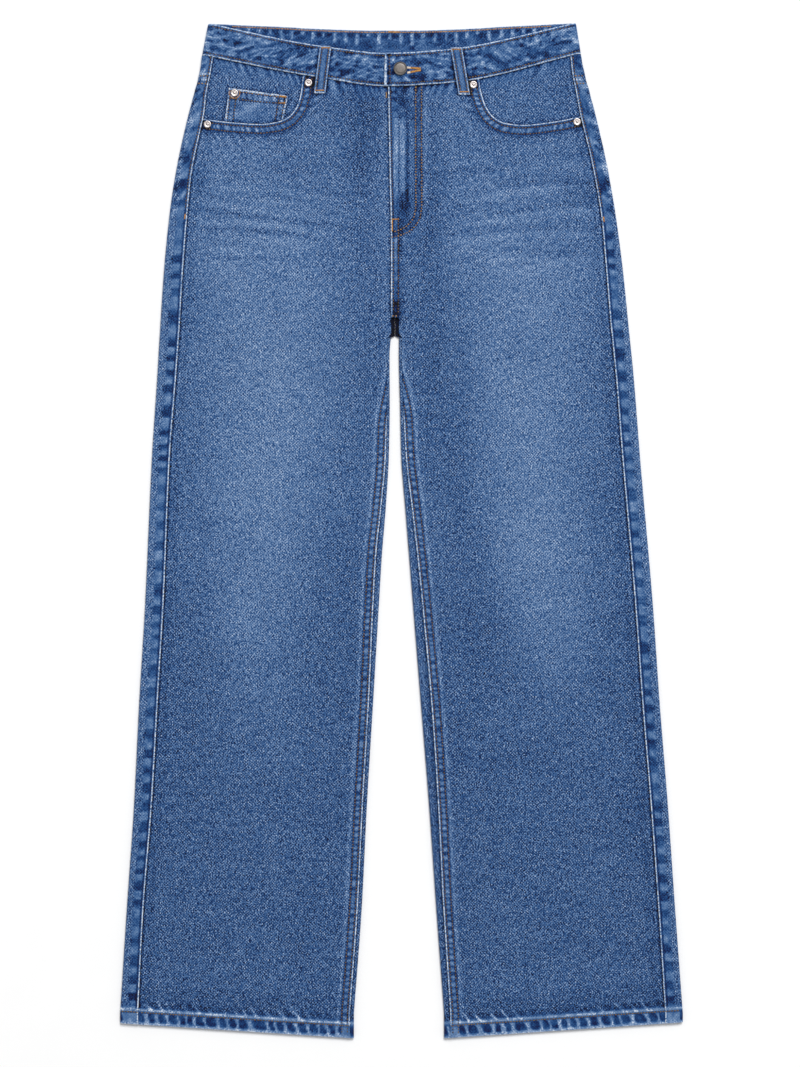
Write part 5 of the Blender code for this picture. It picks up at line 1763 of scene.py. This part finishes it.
def sew_buttonhole():
    """The eye beside the button: two stitched lips, pale at the button, that meet at an orange tack."""
    height, eye = band_height("lap"), BUTTONHOLE
    for lip in (-1.0, 1.0):
        for x in np.arange(eye["x_from"], eye["x_to"], eye["step"]):
            share = (x - eye["x_from"]) / (eye["x_to"] - eye["x_from"])
            middle = mix(eye["down_from"], eye["down_to"], share)
            middle = middle + lip * mix(eye["half_from"], eye["half_to"], share**0.8)
            thread = "thread_pale" if share < eye["pale"] else "thread_orange"
            z = height(np.array([x]), middle) + 0.25
            start, end = [(x, middle - lip * eye["lip"])], [(x + 0.3, middle + lip * eye["lip"])]
            lay_threads(thread, start, end, z, z, 1.0, eye["width"])
    tip = eye["x_to"] - 0.8
    tack("thread_orange", (tip, eye["down_to"] - 1.7), (tip, eye["down_to"] + 1.7), 2.4, height)


# ---------------------------------------------------------------- metal
def turned(name, profile, x, down, z, look, steps=48):
    """A solid of revolution from (radius, height) pairs, listed from the top down its outer side."""
    angles = np.linspace(0, 2 * np.pi, steps, endpoint=False)
    points = [(0.0, 0.0, profile[0][1])]
    for radius, height in profile[1:-1]:
        points += [(radius * np.cos(a), radius * np.sin(a), height) for a in angles]
    points.append((0.0, 0.0, profile[-1][1]))
    rings = len(profile) - 2
    faces = [(0, 1 + k, 1 + (k + 1) % steps) for k in range(steps)]
    for ring in range(rings - 1):
        a, b = 1 + ring * steps, 1 + (ring + 1) * steps
        faces += [(a + k, b + k, b + (k + 1) % steps, a + (k + 1) % steps) for k in range(steps)]
    a = 1 + (rings - 1) * steps
    faces += [(len(points) - 1, a + (k + 1) % steps, a + k) for k in range(steps)]
    placed = np.array(points) * MM + to_world((x, down, z))
    return add_mesh(name, placed, faces, look, sharp=50.0)


# The metal's outlines, from the top's middle round to the foot's, in shares of its radius and height.
PROFILES = {
    "button": ((0.0, 0.80), (0.30, 0.80), (0.55, 0.79), (0.70, 0.76), (0.765, 0.70), (0.80, 0.74),
               (0.835, 0.90), (0.88, 1.0), (0.93, 0.98), (0.975, 0.84), (1.0, 0.6), (0.985, 0.38),
               (0.93, 0.18), (0.86, 0.06), (0.80, 0.0), (0.0, 0.0)),
    "rivet": ((0.0, 0.98), (0.12, 0.97), (0.22, 0.88), (0.30, 0.62), (0.36, 0.50), (0.46, 0.52), (0.62, 0.64),
              (0.78, 0.70), (0.90, 0.62), (0.975, 0.40), (1.0, 0.2), (0.97, 0.05), (0.92, 0.0), (0.0, 0.0)),
}


def make_cap(node, kind, spec, x, down, z, steps):
    """A turned metal cap that stands for its CAD node."""
    profile = [(share * spec["radius"], rise * spec["height"]) for share, rise in PROFILES[kind]]
    piece = turned(node + "_cap", profile, x, down, float(z), METALS[kind], steps)
    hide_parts(node)


def make_metal():
    make_cap("button", "button", BUTTON, BUTTON["x"], BUTTON["down"], BAND_HEIGHT + LAP_LIFT + SEAM_GAP, 96)
    for row in RIVETS:
        z = upper_face(row.side, row.x, row.down) + row.raised + SEAM_GAP
        make_cap(row.name, "rivet", RIVET, row.x, row.down, z, 48)


# ---------------------------------------------------------------- materials
def linear(value):
    """A colour from the photograph's scale of 0 to 255 to the renderer's linear one."""
    value = np.asarray(value, float) / 255.0
    return np.where(value <= 0.04045, value / 12.92, ((value + 0.055) / 1.055) ** 2.4)


# The colours below are as photographed: the light's level and the veil of its reflection are taken off.
GAIN = 0.87
VEIL = np.array((0.0195, 0.0170, 0.0070))
# How strongly each kind of fleck changes the tone.
FLECK = dict(worms=0.106, specks=0.50, slubs=0.22, cross_slubs=0.154, waves=0.130, clouds=0.06, edges=1.3)
# How many radians of a sine the noise's range winds through, for thin crooked flecks.
WINDING = 18.85
# Tone and the colour that denim has at it.
Indigo = namedtuple("Indigo", "tone red green blue")
INDIGO = (
    Indigo(0.06, 9, 16, 27),
    Indigo(0.18, 28, 45, 77),
    Indigo(0.27, 39, 67, 110),
    Indigo(0.36, 57, 90, 138),
    Indigo(0.43, 75, 107, 152),
    Indigo(0.49, 91, 121, 162),
    Indigo(0.58, 119, 146, 182),
    Indigo(0.68, 153, 175, 207),
    Indigo(0.80, 192, 208, 229),
    Indigo(0.92, 224, 233, 243),
)


class Nodes:
    """Short ways to add nodes to a material."""

    def __init__(self, name):
        self.material = bpy.data.materials.new(name)
        self.material.use_nodes = True
        self.tree = self.material.node_tree
        self.shader = self.tree.nodes["Principled BSDF"]
        self.coords = self.tree.nodes.new("ShaderNodeTexCoord")

    def add(self, kind, inputs=None, **settings):
        node = self.tree.nodes.new(kind)
        for key, value in settings.items():
            setattr(node, key, value)
        for key, value in (inputs or {}).items():
            if isinstance(value, bpy.types.NodeSocket):
                self.tree.links.new(value, node.inputs[key])
            else:
                node.inputs[key].default_value = value
        return node

    def math(self, operation, a, b):
        return self.add("ShaderNodeMath", {0: a, 1: b}, operation=operation).outputs[0]

    def place(self, scale=(1.0, 1.0, 1.0), turn=0.0):
        """Object coordinates in millimetres, turned about z and scaled."""
        node = self.add("ShaderNodeMapping", {"Vector": self.coords.outputs["Object"]})
        node.inputs["Rotation"].default_value = (0.0, 0.0, np.radians(turn))
        node.inputs["Scale"].default_value = [1000.0 * value for value in scale]
        return node.outputs["Vector"]

    def noise(self, vector, scale, detail=2.0, roughness=0.5, distortion=0.0):
        node = self.add("ShaderNodeTexNoise", {"Vector": vector, "Scale": scale, "Detail": detail,
                                               "Roughness": roughness, "Distortion": distortion},
                        noise_dimensions="2D")
        return node.outputs["Fac"]

    def waves(self, turn, period, distortion, distortion_scale):
        """Crooked parallel waves, `period` millimetres apart."""
        node = self.add("ShaderNodeTexWave", {"Vector": self.place(turn=turn), "Scale": 0.314 / period,
                                              "Distortion": distortion, "Detail": 0.0,
                                              "Detail Scale": distortion_scale})
        return node.outputs["Fac"]

    def centred(self, value, amount):
        return self.math("MULTIPLY", self.math("SUBTRACT", value, 0.5), amount)

    def lines(self, value, amount):
        """Bright winding lines where the noise passes its middle."""
        away = self.math("ABSOLUTE", self.math("SUBTRACT", value, 0.5), 0.0)
        return self.math("MULTIPLY", self.math("SUBTRACT", 0.1, away), amount)

    def ramp(self, value, stops):
        node = self.add("ShaderNodeValToRGB", {"Fac": value})
        elements = node.color_ramp.elements
        while len(elements) > 1:
            elements.remove(elements[-1])
        for k, (position, color) in enumerate(stops):
            element = elements[0] if k == 0 else elements.new(position)
            element.position = position
            element.color = (*color, 1.0)
        return node.outputs["Color"]

    def attribute(self, name):
        return self.add("ShaderNodeAttribute", attribute_name=name).outputs["Fac"]

    def map_range(self, value, low, high, at_low, at_high):
        node = self.add("ShaderNodeMapRange", {"Value": value, "From Min": low, "From Max": high,
                                               "To Min": at_low, "To Max": at_high})
        return node.outputs["Result"]

    def link(self, socket, name):
        self.tree.links.new(socket, self.shader.inputs[name])

    def bump(self, height, distance):
        node = self.add("ShaderNodeBump", {"Height": height, "Distance": distance, "Strength": 1.0})
        self.link(node.outputs["Normal"], "Normal")

    def surface(self, values):
        for key, value in values.items():
            self.shader.inputs[key].default_value = value


# Noises of the denim. `space` and `turn` draw one out along a direction.
Noise = namedtuple("Noise", "space turn scale detail roughness distortion")
EVEN = (1.0, 1.0, 1.0)
NOISES = dict(
    worms=Noise(EVEN, 0.0, 0.27, 0.0, 0.5, 0.3),
    specks=Noise(EVEN, 0.0, 1.0, 0.0, 0.5, 0.0),
    slubs=Noise((0.9, 0.30, 0.9), 32.0, 0.85, 0.0, 0.6, 0.4),
    cross_slubs=Noise((0.9, 0.30, 0.9), -50.0, 0.80, 0.0, 0.6, 0.4),
    clouds=Noise(EVEN, 0.0, 0.055, 3.0, 0.6, 0.3),
    edges=Noise(EVEN, 0.0, 0.5, 1.0, 0.6, 0.0),
    strands=Noise((0.42, 1.0, 1.0), 8.0, 0.16, 2.0, 0.6, 1.4),
    veins=Noise((0.8, 1.0, 1.0), 0.0, 0.11, 2.0, 0.6, 1.0),
)
DIAGONALS = dict(period=2.26, distortion=5.0, distortion_scale=0.3)
DENIM_SURFACE = {"Roughness": 0.92, "Specular IOR Level": 0.18, "Sheen Weight": 0.06, "Sheen Roughness": 0.6}


def lit(color):
    """The surface's colour, from the one that the photograph shows."""
    return np.maximum(linear(color) * GAIN - VEIL, 0.0015)


def make_denim(name, marble=0.0):
    """Worn denim: colour by tone, winding flecks, slanting slubs, broken bright edges and a fine twill."""
    nodes = Nodes(name)

    def noise(kind):
        space, turn, *values = NOISES[kind]
        return nodes.noise(nodes.place(space, turn), *values)
    tone, calm = nodes.attribute("tone"), nodes.attribute("calm")
    depth = nodes.map_range(tone, 0.34, 0.46, 1.16, 1.0)
    abraded = nodes.map_range(tone, 0.52, 0.70, 0.0, 1.0)
    specks, slubs = noise("specks"), noise("slubs")
    winding = nodes.math("SINE", nodes.math("MULTIPLY", noise("worms"), WINDING), 0.0)
    grain = nodes.math("MULTIPLY", winding, FLECK["worms"])
    diagonals = [nodes.waves(turn, **DIAGONALS) for turn in (45.0, -45.0)]
    for value, amount in (
        (specks, FLECK["specks"]),
        (slubs, FLECK["slubs"]),
        (noise("cross_slubs"), FLECK["cross_slubs"]),
        (diagonals[0], FLECK["waves"]),
        (diagonals[1], FLECK["waves"]),
    ):
        grain = nodes.math("ADD", grain, nodes.centred(value, amount))
    shown = nodes.math("MULTIPLY", depth, nodes.math("SUBTRACT", 1.0, nodes.math("MULTIPLY", calm, 0.75)))
    broken = nodes.centred(noise("edges"), FLECK["edges"])
    parts = [nodes.math("MULTIPLY", grain, shown), nodes.centred(noise("clouds"), FLECK["clouds"]),
             nodes.math("MULTIPLY", broken, abraded)]
    if marble:
        parts += [nodes.lines(noise(kind), marble) for kind in ("strands", "veins")]
    for part in parts:
        tone = nodes.math("ADD", tone, part)
    nodes.link(nodes.ramp(tone, [(row.tone, lit(row[1:])) for row in INDIGO]), "Base Color")
    twill = nodes.add("ShaderNodeTexWave", {"Vector": nodes.place(EVEN, 62.0), "Scale": 0.33,
                                            "Distortion": 1.2, "Detail": 1.0, "Detail Scale": 0.6})
    height = nodes.math("MULTIPLY", twill.outputs["Fac"], 0.35)
    for value, amount in ((specks, 0.8), (slubs, 0.4)):
        height = nodes.math("ADD", height, nodes.math("MULTIPLY", value, amount))
    nodes.bump(height, 0.00035)
    nodes.surface(DENIM_SURFACE)
    return nodes.material


def make_thread(name, color, light):
    """Twisted cotton thread."""
    nodes = Nodes(name)
    mottle = nodes.noise(nodes.place(), 0.8, 1.0)
    low, high = linear(color) * GAIN, linear(light) * GAIN
    nodes.link(nodes.ramp(mottle, [(0.36, low), (0.64, high)]), "Base Color")
    ply = nodes.add("ShaderNodeTexWave", {"Vector": nodes.place(EVEN, 40.0), "Scale": 0.6, "Distortion": 0.5})
    nodes.bump(ply.outputs["Fac"], 0.00012)
    nodes.surface({"Roughness": 0.75, "Sheen Weight": 0.15})
    return nodes.material


def make_metal_look(name, low, high, roughness):
    """Cast metal, slightly mottled and worn."""
    nodes = Nodes(name)
    mottle = nodes.noise(nodes.place(), 0.8, 4.0, 0.65)
    nodes.link(nodes.ramp(mottle, [(0.25, linear(low)), (0.75, linear(high))]), "Base Color")
    nodes.link(nodes.math("ADD", nodes.math("MULTIPLY", mottle, 0.18), roughness), "Roughness")
    nodes.bump(nodes.noise(nodes.place((3.0, 0.4, 1.0), 25.0), 1.4, 3.0, 0.6), 0.00006)
    nodes.surface({"Metallic": 1.0})
    return nodes.material


DENIM = {
    "denim": make_denim("denim_cloth"),
    "denim_back": make_denim("denim_back_cloth"),
    "denim_band": make_denim("denim_band_cloth", 0.14),
}
THREADS = {
    "thread_brown": make_thread("brown_thread", (36, 32, 28), (134, 108, 76)),
    "thread_tan": make_thread("tan_thread", (78, 62, 42), (196, 154, 98)),
    "thread_orange": make_thread("orange_thread", (132, 88, 36), (218, 158, 80)),
    "thread_pale": make_thread("pale_thread", (214, 190, 164), (252, 244, 230)),
}
METALS = {
    "button": make_metal_look("gunmetal", (84, 80, 78), (112, 108, 105), 0.36),
    "rivet": make_metal_look("pale_copper", (140, 132, 130), (204, 196, 193), 0.28),
}


# ---------------------------------------------------------------- table, light and camera
# The table's size and level in metres, and its colour at the darkest and the lightest.
TABLE = dict(size=8.0, level=-0.0003, dark=(0.872, 0.872, 0.872), light=(0.888, 0.888, 0.888))
WORLD_STRENGTH = 0.50
LAMP = dict(place=(1.7, 5.0, 8.4), size=3.8, power=840.0)
# The frame of the photograph, in metres: its height, its middle, and the height it is measured at.
CAMERA = dict(lens=100.0, sensor=36.0, view_height=1.131, x=-0.0016, y=-0.0031, focus=0.004)


def make_stage():
    """A plain white table, soft light from above with a little more from the head, and the camera."""
    bpy.ops.mesh.primitive_plane_add(size=TABLE["size"], location=(0.0, 0.0, TABLE["level"]))
    floor = bpy.context.object
    floor.name = "floor"
    nodes = Nodes("white_table")
    grain = nodes.noise(nodes.place(), 0.02, 2.0)
    nodes.link(nodes.ramp(grain, [(0.0, TABLE["dark"]), (1.0, TABLE["light"])]), "Base Color")
    nodes.surface({"Roughness": 0.9})
    floor.data.materials.append(nodes.material)

    world = bpy.data.worlds.new("studio")
    bpy.context.scene.world = world
    world.use_nodes = True
    world.node_tree.nodes["Background"].inputs["Color"].default_value = (1.0, 1.0, 1.0, 1.0)
    world.node_tree.nodes["Background"].inputs["Strength"].default_value = WORLD_STRENGTH
    lamp = bpy.data.lights.new("overhead", "AREA")
    lamp.shape = "SQUARE"
    lamp.size = LAMP["size"]
    lamp.energy = LAMP["power"]
    holder = bpy.data.objects.new("overhead", lamp)
    holder.location = LAMP["place"]
    holder.rotation_euler = (-holder.location).to_track_quat("-Z", "Y").to_euler()
    bpy.context.scene.collection.objects.link(holder)

    lens = bpy.data.cameras.new("camera")
    lens.lens = CAMERA["lens"]
    lens.sensor_width = CAMERA["sensor"]
    camera = bpy.data.objects.new("camera", lens)
    half = CAMERA["view_height"] / 2
    distance = half / (lens.sensor_width / 2 / lens.lens)
    camera.location = (CAMERA["x"], CAMERA["y"], distance + CAMERA["focus"])
    lens.clip_end = 50.0
    bpy.context.scene.collection.objects.link(camera)
    bpy.context.scene.camera = camera
    bpy.context.scene.view_settings.view_transform = "Standard"


# ---------------------------------------------------------------- the garment
def main():
    for side in SIDES:
        for make in (make_back, make_yoke, make_facing, make_front, make_back_pocket, make_front_loop):
            make(side)
    make_coin_pocket()
    make_waistband()
    for name, x in BACK_LOOPS.items():
        make_back_loop(name, x)
    sew_waistband()
    for side in SIDES:
        sew_side(side)
    sew_fly()
    for side in SIDES:
        sew_front_loop(side)
    for x in BACK_LOOPS.values():
        sew_back_loop(x)
    sew_coin_pocket()
    sew_buttonhole()
    for name in sewn:
        make_threads(name)
    make_metal()
    make_stage()


main()
